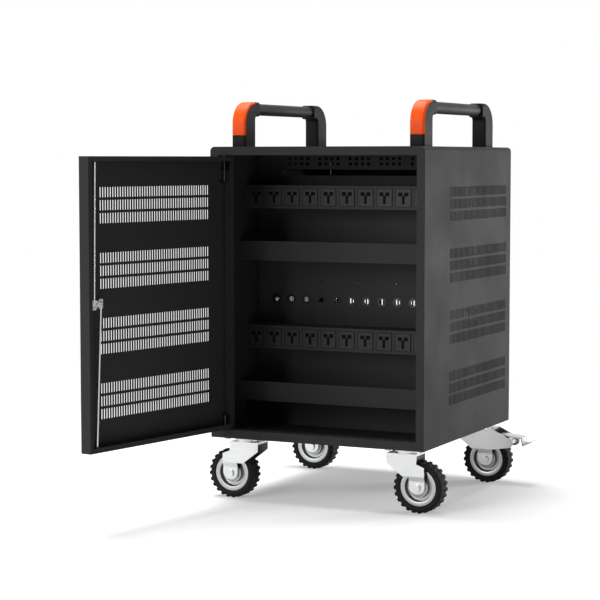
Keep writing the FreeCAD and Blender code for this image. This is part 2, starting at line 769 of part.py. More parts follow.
def build_lock(name, at, turn):
    """Key barrel through the skin, a cam behind it and two rods that it drives."""
    x, z = "lock_x", "lock_z"
    body = fuse(rod("lock_bezel / 2", (x, "door_face - 3", z), "3", "y"),
                box((f"{x} - lock_barrel / 2 + 0.1", "door_face", f"{z} - lock_barrel / 2 + 0.1"),
                    (f"{x} + lock_barrel / 2 - 0.1", "cam_y - 1", f"{z} + lock_barrel / 2 - 0.1")),
                rod("lock_bezel / 2", (x, "skin_back", z), "3", "y"))
    bore = rod("lock_barrel / 4 + running_gap", (x, "door_face - 4", z), "cam_y - door_face + 4", "y")
    node(f"{name}_lock_barrel", cut(body, bore), at, turn)
    centre = FreeCAD.Vector(size.lock_x, size.cam_y, size.lock_z)
    start = -size.cam_swing / 2
    throw = size.cam_throw
    spot = {}
    for key, angle in (("upper", start), ("lower", start + 180)):
        turn_by = math.radians(angle)
        spot[key] = centre + FreeCAD.Vector(throw * math.cos(turn_by), 0, throw * math.sin(turn_by))
    plate, half = size.cam_plate, size.cam_width / 2
    bar = Part.makeBox(2 * throw, plate, size.cam_width, FreeCAD.Vector(-throw, 0, -half))
    for end in (-throw, throw):
        bar = bar.fuse(Part.makeCylinder(half, plate, FreeCAD.Vector(end, 0, 0), Y_AXIS))
    bar = bar.removeSplitter()
    bar.rotate(FreeCAD.Vector(), Y_AXIS, -start)
    bar.translate(centre)
    plug_start = size.door_face - 3
    plug = Part.makeCylinder(size.lock_barrel / 4, size.cam_y - plug_start,
                             FreeCAD.Vector(size.lock_x, plug_start, size.lock_z), Y_AXIS)
    key_slot = Part.makeBox(1.6, 6, 7, FreeCAD.Vector(size.lock_x - 0.8, plug_start - 1, size.lock_z - 3.5))
    nut = Part.makeCylinder(size.lock_nut / 2, 5, centre + Y_AXIS * size.cam_plate, Y_AXIS)
    pins = []
    for point in spot.values():
        pins.append(Part.makeCylinder(size.cam_pin / 2, size.cam_plate + size.eye_plate + 1.4, point, Y_AXIS))
    cam = bar.fuse([plug.cut(key_slot), nut] + pins).removeSplitter()
    node(f"{name}_lock_cam", made(cam), at, turn)
    rod_y = size.rod_y
    for key, sign, end in (("upper", 1, size.door_high - 1), ("lower", -1, size.door_low + 1)):
        pin = FreeCAD.Vector(spot[key].x, rod_y, spot[key].z)
        first = pin + FreeCAD.Vector(0, 0, sign * size.rod_start)
        last = FreeCAD.Vector(size.rod_end_x, rod_y, end)
        run = last - first
        bar = Part.makeCylinder(size.rod_diameter / 2, run.Length, first, run)
        plate_low = min(pin.z - sign * 6, first.z + sign * 4)
        plate_high = max(pin.z - sign * 6, first.z + sign * 4)
        travel = size.cam_throw * (1 - math.cos(math.radians(size.cam_swing / 2)))
        slot_half = size.cam_pin / 2 + travel + 0.6
        plate_half = slot_half + size.eye_plate
        plate = Part.makeBox(2 * plate_half, size.eye_plate, plate_high - plate_low,
                             FreeCAD.Vector(pin.x - plate_half, rod_y - size.eye_plate / 2, plate_low))
        eye = Part.makeBox(2 * slot_half, size.eye_plate + 2, size.cam_pin + 1.2,
                           FreeCAD.Vector(pin.x - slot_half, rod_y - size.eye_plate / 2 - 1,
                                          pin.z - size.cam_pin / 2 - 0.6))
        node(f"{name}_{key}_rod", made(bar.fuse(plate).cut(eye).removeSplitter()), at, turn)
    guides = []
    for low, high in (("door_low + sheet", "door_low + sheet + guide_height"),
                      ("door_high - sheet - guide_height", "door_high - sheet")):
        block = box(("rod_end_x - guide_size / 2", "skin_back", low),
                    ("rod_end_x + guide_size / 2", "rod_y + guide_size / 2", high))
        hole = rod("rod_diameter / 2 + guide_gap", ("rod_end_x", "rod_y", f"{low} - 1"), "guide_height + 2")
        guides.append(cut(block, hole))
    node(f"{name}_rod_guides", group(*guides), at, turn)


# Handles
def bracket_outline(inset):
    """Side outline of a handle bracket in length and height, drawn in from its outer edge by an inset."""
    start = -size.handle_length / 2 + inset
    top = size.handle_height - inset
    bend = size.handle_bend - inset
    leg = -size.handle_length / 2 + size.handle_leg
    arm = -size.handle_length / 2 + size.handle_arm
    under = size.handle_height - size.handle_collar
    inner = size.handle_inner_bend
    slant = math.sqrt(0.5)
    point = lambda y, z: FreeCAD.Vector(0, y, z)
    outer_mid = point(start + bend * (1 - slant), top - bend * (1 - slant))
    inner_mid = point(leg + inner * (1 - slant), under - inner * (1 - slant))
    edges = [
        Part.LineSegment(point(start, 0), point(start, top - bend)),
        Part.Arc(point(start, top - bend), outer_mid, point(start + bend, top)),
        Part.LineSegment(point(start + bend, top), point(arm, top)),
        Part.LineSegment(point(arm, top), point(arm, under)),
        Part.LineSegment(point(arm, under), point(leg + inner, under)),
        Part.Arc(point(leg + inner, under), inner_mid, point(leg, under - inner)),
        Part.LineSegment(point(leg, under - inner), point(leg, 0)),
        Part.LineSegment(point(leg, 0), point(start, 0)),
    ]
    return Part.Face(Part.Wire([edge.toShape() for edge in edges]))


def bracket_edges(solid):
    """Edges to round on a bracket: both sides of its outline, but not its foot or the end of its arm."""
    arm = -size.handle_length / 2 + size.handle_arm
    edges = []
    for edge in solid.Edges:
        box_of_edge = edge.BoundBox
        on_foot = box_of_edge.ZMax < 1
        on_arm_end = box_of_edge.YMin > arm - 1
        if box_of_edge.XLength < 1 and not on_foot and not on_arm_end:
            edges.append(edge)
    return edges


def build_handle(name, sign):
    """Two moulded brackets, a coloured corner cover on the front one, and a round grip bar between them."""
    width = size.handle_width
    solid = bracket_outline(0).extrude(FreeCAD.Vector(width, 0, 0))
    solid.translate(FreeCAD.Vector(-width / 2, 0, 0))
    solid = solid.makeFillet(size.handle_round, bracket_edges(solid))
    core = bracket_outline(size.cover_thickness).extrude(FreeCAD.Vector(width + 2, 0, 0))
    core.translate(FreeCAD.Vector(-width / 2 - 1, 0, 0))
    start = -size.handle_length / 2
    corner = Part.makeBox(width + 2, size.handle_bend + 1, size.handle_height,
                          FreeCAD.Vector(-width / 2 - 1, start - 1, size.cover_start))
    cover = solid.common(corner).cut(core)
    bracket = solid.cut(cover)
    plain = solid.copy()
    plain.rotate(FreeCAD.Vector(), Z_AXIS, 180)
    at = (f"{sign}(half_width - handle_inset - handle_width / 2)", 0, "top")
    node(f"{name}_handle_brackets", made(Part.makeCompound([bracket, plain])), at)
    node(f"{name}_handle_cover", made(cover), at)
    low = (0, "handle_arm - handle_length / 2", "handle_height - handle_collar / 2")
    bar = rod("grip_diameter / 2", low, "handle_length - 2 * handle_arm", "y")
    node(f"{name}_handle_bar", group(bar), at)


# Casters
CASTERS = {
    "front_right": ("", "-"),
    "front_left": ("-", "-"),
    "rear_right": ("", ""),
    "rear_left": ("-", ""),
}


def build_caster_plates():
    """Top plates with their ball races and kingpins, and the bolts that hold them."""
    plates = []
    bolts = []
    half_x, half_y = "caster_plate_x / 2", "caster_plate_y / 2"
    plate_low = "bottom - caster_plate"
    for x_side, y_side in CASTERS.values():
        x, y = f"{x_side}swivel_x", f"{y_side}swivel_y"
        plate = fuse(box((f"{x} - {half_x}", f"{y} - {half_y}", plate_low),
                         (f"{x} + {half_x}", f"{y} + {half_y}", "bottom")),
                     rod("race_diameter / 2", (x, y, "race_low"), "race_height"),
                     rod("kingpin_diameter / 2", (x, y, "crown_low - 8"), "race_low - crown_low + 8"),
                     rod("kingpin_head / 2", (x, y, "crown_low - 8"), "4"))
        holes = []
        for dx in (f"- {half_x} + bolt_inset", f"+ {half_x} - bolt_inset"):
            for dy in (f"- {half_y} + bolt_inset", f"+ {half_y} - bolt_inset"):
                at = (f"{x} {dx}", f"{y} {dy}", f"{plate_low} - 1")
                holes.append(rod("bolt_diameter / 2 + running_gap", at, "caster_plate + 2"))
                foot = (at[0], at[1], f"{plate_low} - 2")
                shank = rod("bolt_diameter / 2", foot, "caster_plate + sheet + 8")
                head = rod("bolt_head / 2", (at[0], at[1], "floor_top"), "bolt_head_height")
                bolts.append(fuse(shank, head))
        plates.append(cut(plate, *holes))
    node("caster_plates", group(*plates))
    node("caster_bolts", group(*bolts))


def cheek_outline(braked):
    """Side outline of a fork cheek, outwards from the swivel axis and up from the floor."""
    trail, axle, end = size.caster_trail, size.wheel_radius, size.cheek_end
    top, waist = size.crown_top, size.wheel_radius + size.cheek_waist
    point = lambda x, z: FreeCAD.Vector(x, 0, z)
    near, far = trail - end, trail + end
    front = [point(-size.fork_back, top), point(-size.fork_back, top - size.fork_skirt),
             point(near - size.cheek_ledge, waist), point(near, waist), point(near, axle)]
    edges = [Part.makeLine(a, b) for a, b in zip(front, front[1:])]
    edges.append(Part.Arc(front[-1], point(trail, axle - size.cheek_drop), point(far, axle)).toShape())
    if braked:
        ear, x, z = size.pedal_ear, size.pedal_pivot_x, size.crown_top - size.pedal_pivot_drop
        back = [point(far, axle), point(far, waist), point(x, z - ear)]
        tail = [point(x, z + ear), point(far, top), front[0]]
        edges += [Part.makeLine(a, b) for a, b in zip(back, back[1:])]
        edges.append(Part.Arc(back[-1], point(x + ear, z), tail[0]).toShape())
        edges += [Part.makeLine(a, b) for a, b in zip(tail, tail[1:])]
    else:
        notch = top - size.fork_notch
        back = [point(far, axle), point(far, notch - size.fork_shoulder),
                point(size.fork_front, notch), point(size.fork_front, top), front[0]]
        edges += [Part.makeLine(a, b) for a, b in zip(back, back[1:])]
    return Part.Face(Part.Wire(edges))


def fork_cheek(braked):
    """One fork cheek: a sheet stepped in towards the hub below its waist, cut to the side outline."""
    inner, outer, step = size.cheek_inner, size.cheek_outer, size.cheek_step
    waist = size.wheel_radius + size.cheek_waist
    foot = waist - size.cheek_bend
    low, top = size.wheel_radius - size.cheek_drop, size.crown_top
    section = [(inner, low), (outer, low), (outer, foot), (outer + step, waist), (outer + step, top),
               (inner + step, top), (inner + step, waist), (inner, foot)]
    points = [FreeCAD.Vector(-size.fork_back, y, z) for y, z in section]
    length = size.fork_back + size.pedal_pivot_x + size.pedal_ear
    sheet = Part.Face(Part.makePolygon(points + points[:1])).extrude(X_AXIS * length)
    return sheet.common(cheek_outline(braked).extrude(Y_AXIS * size.crown_half))


def build_caster(name, x_side, y_side, braked):
    """One swivel caster: fork, axle bolt, wheel and tyre, and a pedal where it has a brake."""
    at = (f"{x_side}swivel_x", f"{y_side}swivel_y", 0)
    turn = "180" if x_side else 0
    trail, axle = size.caster_trail, size.wheel_radius
    cheek = fork_cheek(braked)
    other = cheek.mirror(FreeCAD.Vector(), Y_AXIS)
    front = trail + size.cheek_end if braked else size.fork_front
    crown = Part.makeBox(front + size.fork_back, 2 * size.crown_half, size.crown_plate,
                         FreeCAD.Vector(-size.fork_back, -size.crown_half, size.crown_low))
    long_y = 2 * size.crown_half + 2
    start = -size.crown_half - 1
    holes = [Part.makeCylinder(size.kingpin_diameter / 2 + size.running_gap, size.crown_plate + 2,
                               FreeCAD.Vector(0, 0, size.crown_low - 1)),
             Part.makeCylinder(size.axle_diameter / 2 + size.running_gap, long_y,
                               FreeCAD.Vector(trail, start, axle), Y_AXIS)]
    if braked:
        spot = FreeCAD.Vector(size.pedal_pivot_x, start, size.crown_top - size.pedal_pivot_drop)
        holes.append(Part.makeCylinder(size.pedal_pin / 2 + size.running_gap, long_y, spot, Y_AXIS))
    fork = crown.fuse([cheek, other]).cut(Part.makeCompound(holes)).removeSplitter()
    node(f"{name}_fork", made(fork), at, turn)
    low = ("caster_trail", "-cheek_outer", "wheel_radius")
    heads = [("caster_trail", y, "wheel_radius") for y in ("cheek_outer", "-cheek_outer - axle_head_height")]
    bolt = fuse(rod("axle_diameter / 2", low, "2 * cheek_outer", "y"),
                *[rod("axle_head / 2", head, "axle_head_height", "y") for head in heads])
    node(f"{name}_axle", bolt, at, turn)
    centre = ("caster_trail", 0, "wheel_radius")
    bore = "axle_diameter / 2 + running_gap"
    rim_in = "rim_diameter / 2 - rim_lip"
    hub = "hub_diameter / 2"
    half = [(bore, "hub_length / 2"), (hub, "hub_length / 2"), (hub, "web_thickness / 2"),
            (rim_in, "web_thickness / 2"), (rim_in, "rim_width / 2"), ("rim_diameter / 2", "rim_width / 2")]
    wheel = turned(half + [(r, f"-({y})") for r, y in reversed(half)])
    set_place(wheel, centre)
    node(f"{name}_wheel", group(wheel), at, turn)
    tread, wide, soft = "wheel_diameter / 2", "tyre_width / 2", "tyre_round"
    half = [("rim_diameter / 2", wide), (f"{tread} - {soft}", wide),
            (f"{tread} - 0.35 * {soft}", f"{wide} - 0.35 * {soft}"), (tread, f"{wide} - {soft}")]
    tyre = turned(half + [(r, f"-({y})") for r, y in reversed(half)])
    set_place(tyre, centre)
    node(f"{name}_tyre", group(tyre), at, turn)
    if braked:
        build_pedal(name, at, turn)


def bent_plate(points, thickness):
    """Side outline of a plate folded along a centre line, with mitred corners."""
    line = [FreeCAD.Vector(x, 0, z) for x, z in points]
    sides = []
    for before, after in zip(line, line[1:]):
        run = after - before
        sides.append(FreeCAD.Vector(-run.z, 0, run.x) / run.Length)
    near, far = [], []
    for index, point in enumerate(line):
        first, second = sides[max(index - 1, 0)], sides[min(index, len(sides) - 1)]
        mitre = (first + second) * (thickness / 2 / (1 + first.dot(second)))
        near.append(point - mitre)
        far.append(point + mitre)
    corners = near + far[::-1]
    return Part.Face(Part.makePolygon(corners + corners[:1]))


def build_pedal(name, at, turn):
    """Brake pedal on a cross pin behind the tyre: a folded lever with a toe plate."""
    pivot = FreeCAD.Vector(size.pedal_pivot_x, 0, size.crown_top - size.pedal_pivot_drop)
    half, rise = size.pedal_width / 2, size.pedal_rise
    fall = (size.pedal_front + size.pedal_back) * math.tan(math.radians(size.pedal_slope))
    back, heel = size.pedal_back, size.pedal_back + size.pedal_lean
    low = rise - fall - size.pedal_dip
    line = [(-size.pedal_front, rise), (back, rise - fall),
            (heel, low), (heel + size.pedal_toe, low + size.pedal_kick)]
    lever = bent_plate(line, size.pedal_plate).extrude(Y_AXIS * size.pedal_width)
    lever.translate(pivot - Y_AXIS * half)
    pin = Part.makeCylinder(size.pedal_pin / 2, 2 * size.crown_half, pivot - Y_AXIS * size.crown_half, Y_AXIS)
    eye = Part.makeCylinder(size.pedal_eye, size.pedal_width, pivot - Y_AXIS * half, Y_AXIS)
    web = Part.makeBox(size.pedal_plate, size.pedal_width, rise - fall / 2,
                       pivot - FreeCAD.Vector(size.pedal_plate / 2, half, 0))
    node(f"{name}_pedal", made(pin.fuse([eye, web, lever]).removeSplitter()), at, turn)


def check_and_write():
    """Stop on any failed object or bad shape, then write one file for each piece."""
    doc.recompute()
    for thing in doc.Objects:
        if "Invalid" in thing.State or "Error" in thing.State:
            raise RuntimeError(f"{thing.Label} failed: {thing.State}")
    os.makedirs("parts", exist_ok=True)
    for piece in nodes:
        if piece.Shape.isNull() or not piece.Shape.isValid():
            raise RuntimeError(f"{piece.Label} has no valid shape")
    for piece in nodes:
        piece.Shape.exportStep(f"parts/{piece.Label}.step")
        print(f"{piece.Label}: {len(piece.Shape.Solids)} solids, {piece.Shape.Volume / 1000:.1f} cm3")


def main():
    build_base()
    for side in (1, -1):
        build_side(side)
    build_cover()
    build_divider()
    build_tray("lower_adapter_tray", "0")
    build_tray("upper_adapter_tray", "tray_spacing")
    build_rail("lower_socket_rail", "lower_sockets", "0")
    build_rail("upper_socket_rail", "upper_sockets", "tray_spacing")
    build_legs()
    build_shelves()
    build_inlet()
    build_door("front_door", (("pivot_x", "pivot_y", 0), "-door_open_angle"), 0)
    build_door("rear_door", (("-pivot_x", "-pivot_y", 0), "180"), size.rear_vent_lift)
    build_handle("left", "-")
    build_handle("right", "")
    build_caster_plates()
    for name, (x_side, y_side) in CASTERS.items():
        build_caster(f"{name}_caster", x_side, y_side, braked=not y_side)
    check_and_write()


main()
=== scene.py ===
import json
import logging
import math
from dataclasses import dataclass, field
from enum import Enum
from typing import Sequence

import bmesh
import bpy
from mathutils import Matrix, Vector


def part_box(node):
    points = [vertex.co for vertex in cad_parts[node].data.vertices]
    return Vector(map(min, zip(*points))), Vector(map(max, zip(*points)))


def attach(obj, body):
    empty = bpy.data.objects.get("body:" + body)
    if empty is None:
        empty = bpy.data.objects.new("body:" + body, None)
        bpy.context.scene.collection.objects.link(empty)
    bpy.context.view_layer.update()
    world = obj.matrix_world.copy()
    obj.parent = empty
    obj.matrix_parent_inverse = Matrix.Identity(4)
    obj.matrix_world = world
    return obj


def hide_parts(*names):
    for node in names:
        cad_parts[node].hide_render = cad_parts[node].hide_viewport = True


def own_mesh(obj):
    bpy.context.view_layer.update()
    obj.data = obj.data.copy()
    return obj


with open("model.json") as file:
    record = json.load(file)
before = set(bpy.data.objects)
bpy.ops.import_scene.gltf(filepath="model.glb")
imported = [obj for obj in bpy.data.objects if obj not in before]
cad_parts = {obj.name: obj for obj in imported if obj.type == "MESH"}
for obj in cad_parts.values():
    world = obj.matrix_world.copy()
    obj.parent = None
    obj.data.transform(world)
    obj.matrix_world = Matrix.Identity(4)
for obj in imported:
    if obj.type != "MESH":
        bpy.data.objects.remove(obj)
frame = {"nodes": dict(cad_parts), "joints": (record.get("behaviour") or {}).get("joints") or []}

LOG = logging.getLogger("charging_cabinet")
NODES: dict[str, bpy.types.Object] = frame["nodes"]
MM = 0.001
TURN_STEPS = 64
# Shares of a nut's radius and height, and of the step between two lugs
WASHER_SHARE = 1.22
WASHER_HEIGHT = 0.3
LUG_STAGGER = 0.25
# Distances in metres
MERGE_WITHIN = 2e-6
WELD_WITHIN = 1e-6
NO_LENGTH = 1e-7
# Angles in degrees
FLAT_WITHIN = 0.5
BEVEL_ABOVE = 40.0
SMOOTH_BELOW = 50.0
Colour = tuple[float, float, float]
Point = tuple[float, float, float]


class Grain(Enum):
    """Kind of fine surface texture on a finish."""

    POWDER = "powder"
    MOULD = "mould"
    ROLLED = "rolled"


# Shader groups


def group_socket(tree: bpy.types.NodeTree, name: str, way: str, kind: str, value: object = None) -> None:
    """Add one named socket to a node group.

    Args:
        tree: The group.
        name: Socket name.
        way: INPUT or OUTPUT.
        kind: Socket type name.
        value: Default of an input.
    """
    socket = tree.interface.new_socket(name=name, in_out=way, socket_type=kind)
    if value is not None:
        socket.default_value = value


def grain_group() -> bpy.types.NodeTree:
    """Fine surface grain with a slow drift, as a height, a tint and a gloss shift.

    Returns:
        The shader group, built once.
    """
    found = bpy.data.node_groups.get("surface_grain")
    if found:
        return found
    tree = bpy.data.node_groups.new("surface_grain", "ShaderNodeTree")
    group_socket(tree, "Fine Scale", "INPUT", "NodeSocketFloat", 900.0)
    group_socket(tree, "Drift Scale", "INPUT", "NodeSocketFloat", 6.0)
    group_socket(tree, "Stretch", "INPUT", "NodeSocketVector", (1.0, 1.0, 1.0))
    group_socket(tree, "Height", "OUTPUT", "NodeSocketFloat")
    group_socket(tree, "Tint", "OUTPUT", "NodeSocketFloat")
    group_socket(tree, "Drift", "OUTPUT", "NodeSocketFloat")
    make, link = tree.nodes.new, tree.links.new
    start = make("NodeGroupInput")
    end = make("NodeGroupOutput")
    place = make("ShaderNodeTexCoord")
    stretch = make("ShaderNodeVectorMath")
    stretch.operation = "MULTIPLY"
    link(place.outputs["Object"], stretch.inputs[0])
    link(start.outputs["Stretch"], stretch.inputs[1])
    fine = make("ShaderNodeTexNoise")
    fine.inputs["Detail"].default_value = 3.0
    fine.inputs["Roughness"].default_value = 0.6
    link(stretch.outputs["Vector"], fine.inputs["Vector"])
    link(start.outputs["Fine Scale"], fine.inputs["Scale"])
    drift = make("ShaderNodeTexNoise")
    drift.inputs["Detail"].default_value = 4.0
    link(place.outputs["Object"], drift.inputs["Vector"])
    link(start.outputs["Drift Scale"], drift.inputs["Scale"])
    speck = make("ShaderNodeMapRange")
    speck.inputs["From Min"].default_value = 0.35
    speck.inputs["From Max"].default_value = 0.65
    link(fine.outputs["Fac"], speck.inputs["Value"])
    calm = make("ShaderNodeMapRange")
    calm.inputs["From Min"].default_value = 0.3
    calm.inputs["From Max"].default_value = 0.7
    link(drift.outputs["Fac"], calm.inputs["Value"])
    link(fine.outputs["Fac"], end.inputs["Height"])
    link(speck.outputs["Result"], end.inputs["Tint"])
    link(calm.outputs["Result"], end.inputs["Drift"])
    return tree


def wear_group() -> bpy.types.NodeTree:
    """Light scuffs: thin, sparse, slightly paler streaks.

    Returns:
        The shader group, built once.
    """
    found = bpy.data.node_groups.get("light_scuffs")
    if found:
        return found
    tree = bpy.data.node_groups.new("light_scuffs", "ShaderNodeTree")
    group_socket(tree, "Scale", "INPUT", "NodeSocketFloat", 14.0)
    group_socket(tree, "Amount", "INPUT", "NodeSocketFloat", 0.2)
    group_socket(tree, "Mask", "OUTPUT", "NodeSocketFloat")
    make, link = tree.nodes.new, tree.links.new
    start = make("NodeGroupInput")
    end = make("NodeGroupOutput")
    place = make("ShaderNodeTexCoord")
    turn = make("ShaderNodeMapping")
    turn.inputs["Rotation"].default_value = (0.4, 0.9, 0.3)
    turn.inputs["Scale"].default_value = (1.0, 9.0, 9.0)
    link(place.outputs["Object"], turn.inputs["Vector"])
    streak = make("ShaderNodeTexNoise")
    streak.inputs["Detail"].default_value = 6.0
    link(turn.outputs["Vector"], streak.inputs["Vector"])
    link(start.outputs["Scale"], streak.inputs["Scale"])
    thin = make("ShaderNodeMapRange")
    thin.inputs["From Min"].default_value = 0.62
    thin.inputs["From Max"].default_value = 0.78
    link(streak.outputs["Fac"], thin.inputs["Value"])
    share = make("ShaderNodeMath")
    share.operation = "MULTIPLY"
    link(thin.outputs["Result"], share.inputs[0])
    link(start.outputs["Amount"], share.inputs[1])
    link(share.outputs["Value"], end.inputs["Mask"])
    return tree


# Finishes


@dataclass(frozen=True)
class Finish:
    """One surface finish and the record slot that it belongs to."""

    name: str
    slot: str
    colour: Colour
    roughness: float
    metallic: float = 0.0
    grain: Grain = Grain.MOULD
    grain_scale: float = 900.0
    grain_height: float = 0.12
    tint_depth: float = 0.12
    drift_depth: float = 0.08
    scuffs: float = 0.0
    specular: float = 0.5
    bump_depth: float = 0.4 * MM
    roll_stretch: Point = (0.06, 1.0, 1.0)
    scuff_gain: float = 1.8
    scuff_lift: float = 0.02
    least_rough: float = 0.03

    def material(self) -> bpy.types.Material:
        """Return the material of this finish, made on first use."""
        return bpy.data.materials.get(self.name) or self.make()

    def make(self) -> bpy.types.Material:
        """Build the node tree of this finish.

        Returns:
            The new material.
        """
        material = bpy.data.materials.new(self.name)
        material.use_nodes = True
        tree = material.node_tree
        make, link = tree.nodes.new, tree.links.new
        shader = tree.nodes["Principled BSDF"]
        shader.inputs["Metallic"].default_value = self.metallic
        shader.inputs["Specular IOR Level"].default_value = self.specular
        grain = make("ShaderNodeGroup")
        grain.node_tree = grain_group()
        grain.inputs["Fine Scale"].default_value = self.grain_scale
        if self.grain is Grain.ROLLED:
            grain.inputs["Stretch"].default_value = self.roll_stretch
        dark = tuple(value * (1.0 - self.tint_depth) for value in self.colour) + (1.0,)
        light = tuple(min(1.0, value * (1.0 + self.tint_depth)) for value in self.colour) + (1.0,)
        colour = make("ShaderNodeMix")
        colour.data_type = "RGBA"
        colour.inputs["A"].default_value = dark
        colour.inputs["B"].default_value = light
        link(grain.outputs["Tint"], colour.inputs["Factor"])
        last = colour.outputs["Result"]
        if self.scuffs > 0.0:
            last = self.add_scuffs(tree, last)
        link(last, shader.inputs["Base Color"])
        gloss = make("ShaderNodeMapRange")
        gloss.inputs["To Min"].default_value = max(self.least_rough, self.roughness - self.drift_depth)
        gloss.inputs["To Max"].default_value = min(1.0, self.roughness + self.drift_depth)
        link(grain.outputs["Drift"], gloss.inputs["Value"])
        link(gloss.outputs["Result"], shader.inputs["Roughness"])
        bump = make("ShaderNodeBump")
        bump.inputs["Strength"].default_value = self.grain_height
        bump.inputs["Distance"].default_value = self.bump_depth
        link(grain.outputs["Height"], bump.inputs["Height"])
        link(bump.outputs["Normal"], shader.inputs["Normal"])
        return material

    def add_scuffs(self, tree: bpy.types.NodeTree, colour: bpy.types.NodeSocket) -> bpy.types.NodeSocket:
        """Lay pale scuffs over the base colour.

        Args:
            tree: The material's tree.
            colour: Colour so far.

        Returns:
            The colour with scuffs.
        """
        wear = tree.nodes.new("ShaderNodeGroup")
        wear.node_tree = wear_group()
        wear.inputs["Amount"].default_value = self.scuffs
        mix = tree.nodes.new("ShaderNodeMix")
        mix.data_type = "RGBA"
        pale = tuple(min(1.0, value * self.scuff_gain + self.scuff_lift) for value in self.colour)
        mix.inputs["B"].default_value = pale + (1.0,)
        tree.links.new(wear.outputs["Mask"], mix.inputs["Factor"])
        tree.links.new(colour, mix.inputs["A"])
        return mix.outputs["Result"]


CASE_PAINT = Finish("case_powder_coat", "case_paint", (0.031, 0.031, 0.0322), 0.6, grain=Grain.POWDER,
                    grain_scale=1100.0, grain_height=0.35, tint_depth=0.16, scuffs=0.08, specular=0.07)
# lighter copy of the case paint: painted light that brightens the dim interior
LIGHTENED_INNER_PAINT = Finish("inner_powder_coat_painted_light", "case_paint", (0.037, 0.037, 0.0385), 0.6, grain=Grain.POWDER,
                     grain_scale=1100.0, grain_height=0.35, tint_depth=0.16, scuffs=0.06, specular=0.07)
RAIL_PAINT = Finish("rail_powder_coat", "rail_paint", (0.033, 0.033, 0.034), 0.5, grain=Grain.POWDER,
                    grain_scale=1100.0, grain_height=0.3, tint_depth=0.15, specular=0.1)
SOCKET_PLASTIC = Finish("socket_moulding", "socket_plastic", (0.03, 0.03, 0.031), 0.45, grain_scale=1400.0,
                        specular=0.15)
# near-black: painted shade inside the socket contact holes, and the dark seams round each socket
SOCKET_SHADE_AND_SEAM = Finish("socket_shade_and_seam", "socket_plastic", (0.002, 0.002, 0.002), 0.6, grain_scale=1400.0,
                         specular=0.05)
BLACK_PLASTIC = Finish("black_moulding", "black_plastic", (0.008, 0.008, 0.0083), 0.55, grain_scale=1300.0,
                       grain_height=0.25, tint_depth=0.15, scuffs=0.06, specular=0.1)
GRIP_COATING = Finish("soft_grip", "grip_coating", (0.008, 0.008, 0.0083), 0.55, grain_scale=1600.0,
                      grain_height=0.4, specular=0.2)
ORANGE_PLASTIC = Finish("orange_moulding", "orange_plastic", (1.0, 0.1, 0.009), 0.4, grain_scale=1500.0,
                        grain_height=0.1, tint_depth=0.05, drift_depth=0.06, specular=0.1)
GROMMET_PLASTIC = Finish("grommet_ring", "grommet_plastic", (0.004, 0.004, 0.004), 0.3, grain_scale=1500.0,
                         specular=0.3)
BRIGHT_ZINC = Finish("bright_zinc_plate", "bright_zinc", (0.55, 0.554, 0.558), 0.25, metallic=1.0,
                     grain=Grain.ROLLED, grain_scale=500.0, grain_height=0.05,
                     tint_depth=0.05, drift_depth=0.05)
DARK_STEEL = Finish("black_zinc_plate", "dark_steel", (0.05, 0.05, 0.051), 0.4, metallic=1.0,
                    grain_scale=700.0, grain_height=0.05, tint_depth=0.08, drift_depth=0.05)
WHEEL_STEEL = Finish("wheel_disc_steel", "wheel_steel", (0.36, 0.364, 0.368), 0.26, metallic=1.0,
                     grain_scale=700.0, grain_height=0.05, tint_depth=0.06, drift_depth=0.05)
LOCK_CHROME = Finish("lock_chrome_plate", "lock_chrome", (0.8, 0.8, 0.81), 0.12, metallic=1.0,
                     grain_scale=900.0, grain_height=0.02, tint_depth=0.03, drift_depth=0.04)
TYRE_RUBBER = Finish("tyre_compound", "tyre_rubber", (0.012, 0.012, 0.012), 0.7, grain_scale=800.0,
                     grain_height=0.4, tint_depth=0.2, drift_depth=0.12, specular=0.12)


# Mesh helpers


def dress(node: str, finish: Finish) -> None:
    """Give a carried-over node its finish.

    Args:
        node: Node name.
        finish: Finish to show.
    """
    mesh = NODES[node].data
    mesh.materials.clear()
    mesh.materials.append(finish.material())
    LOG.info("dressed %s with %s", node, finish.name)


def link_mesh(name: str, mesh: bpy.types.Mesh) -> bpy.types.Object:
    """Put a mesh into the scene at the origin.

    Args:
        name: Object name.
        mesh: Its mesh, already in place.

    Returns:
        The new object.
    """
    piece = bpy.data.objects.new(name, mesh)
    bpy.context.scene.collection.objects.link(piece)
    return piece


def finish_piece(piece: bpy.types.Object, body: str, finish: Finish, stands_for: Sequence[str] = ()) -> None:
    """Hang a finished piece on its body and give it the finish's material if it has none.

    Args:
        piece: The piece.
        body: Body that it moves with.
        finish: Its finish.
        stands_for: Nodes that it takes the place of.
    """
    if not piece.data.materials:
        piece.data.materials.append(finish.material())
    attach(piece, body)
    if stands_for:
        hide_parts(*stands_for)
    LOG.info("made %s on %s, %d faces", piece.name, body, len(piece.data.polygons))


def smooth(mesh: bpy.types.Mesh, angle: float = 35.0) -> None:
    """Shade a mesh smooth except across sharp edges.

    Args:
        mesh: The mesh.
        angle: Angle in degrees above which an edge stays sharp.
    """
    mesh.polygons.foreach_set("use_smooth", [True] * len(mesh.polygons))
    mesh.set_sharp_from_angle(angle=math.radians(angle))
    mesh.update()


def baked(piece: bpy.types.Object, name: str) -> bpy.types.Object:
    """Turn an object with modifiers into one with a plain mesh.

    Args:
        piece: Object with live modifiers, removed here.
        name: Name of the plain one.

    Returns:
        The plain object.
    """
    bpy.context.view_layer.update()
    graph = bpy.context.evaluated_depsgraph_get()
    mesh = bpy.data.meshes.new_from_object(piece.evaluated_get(graph))
    mesh.name = name
    old = piece.data
    bpy.data.objects.remove(piece)
    if isinstance(old, bpy.types.Mesh) and old.users == 0:
        bpy.data.meshes.remove(old)
    return link_mesh(name, mesh)


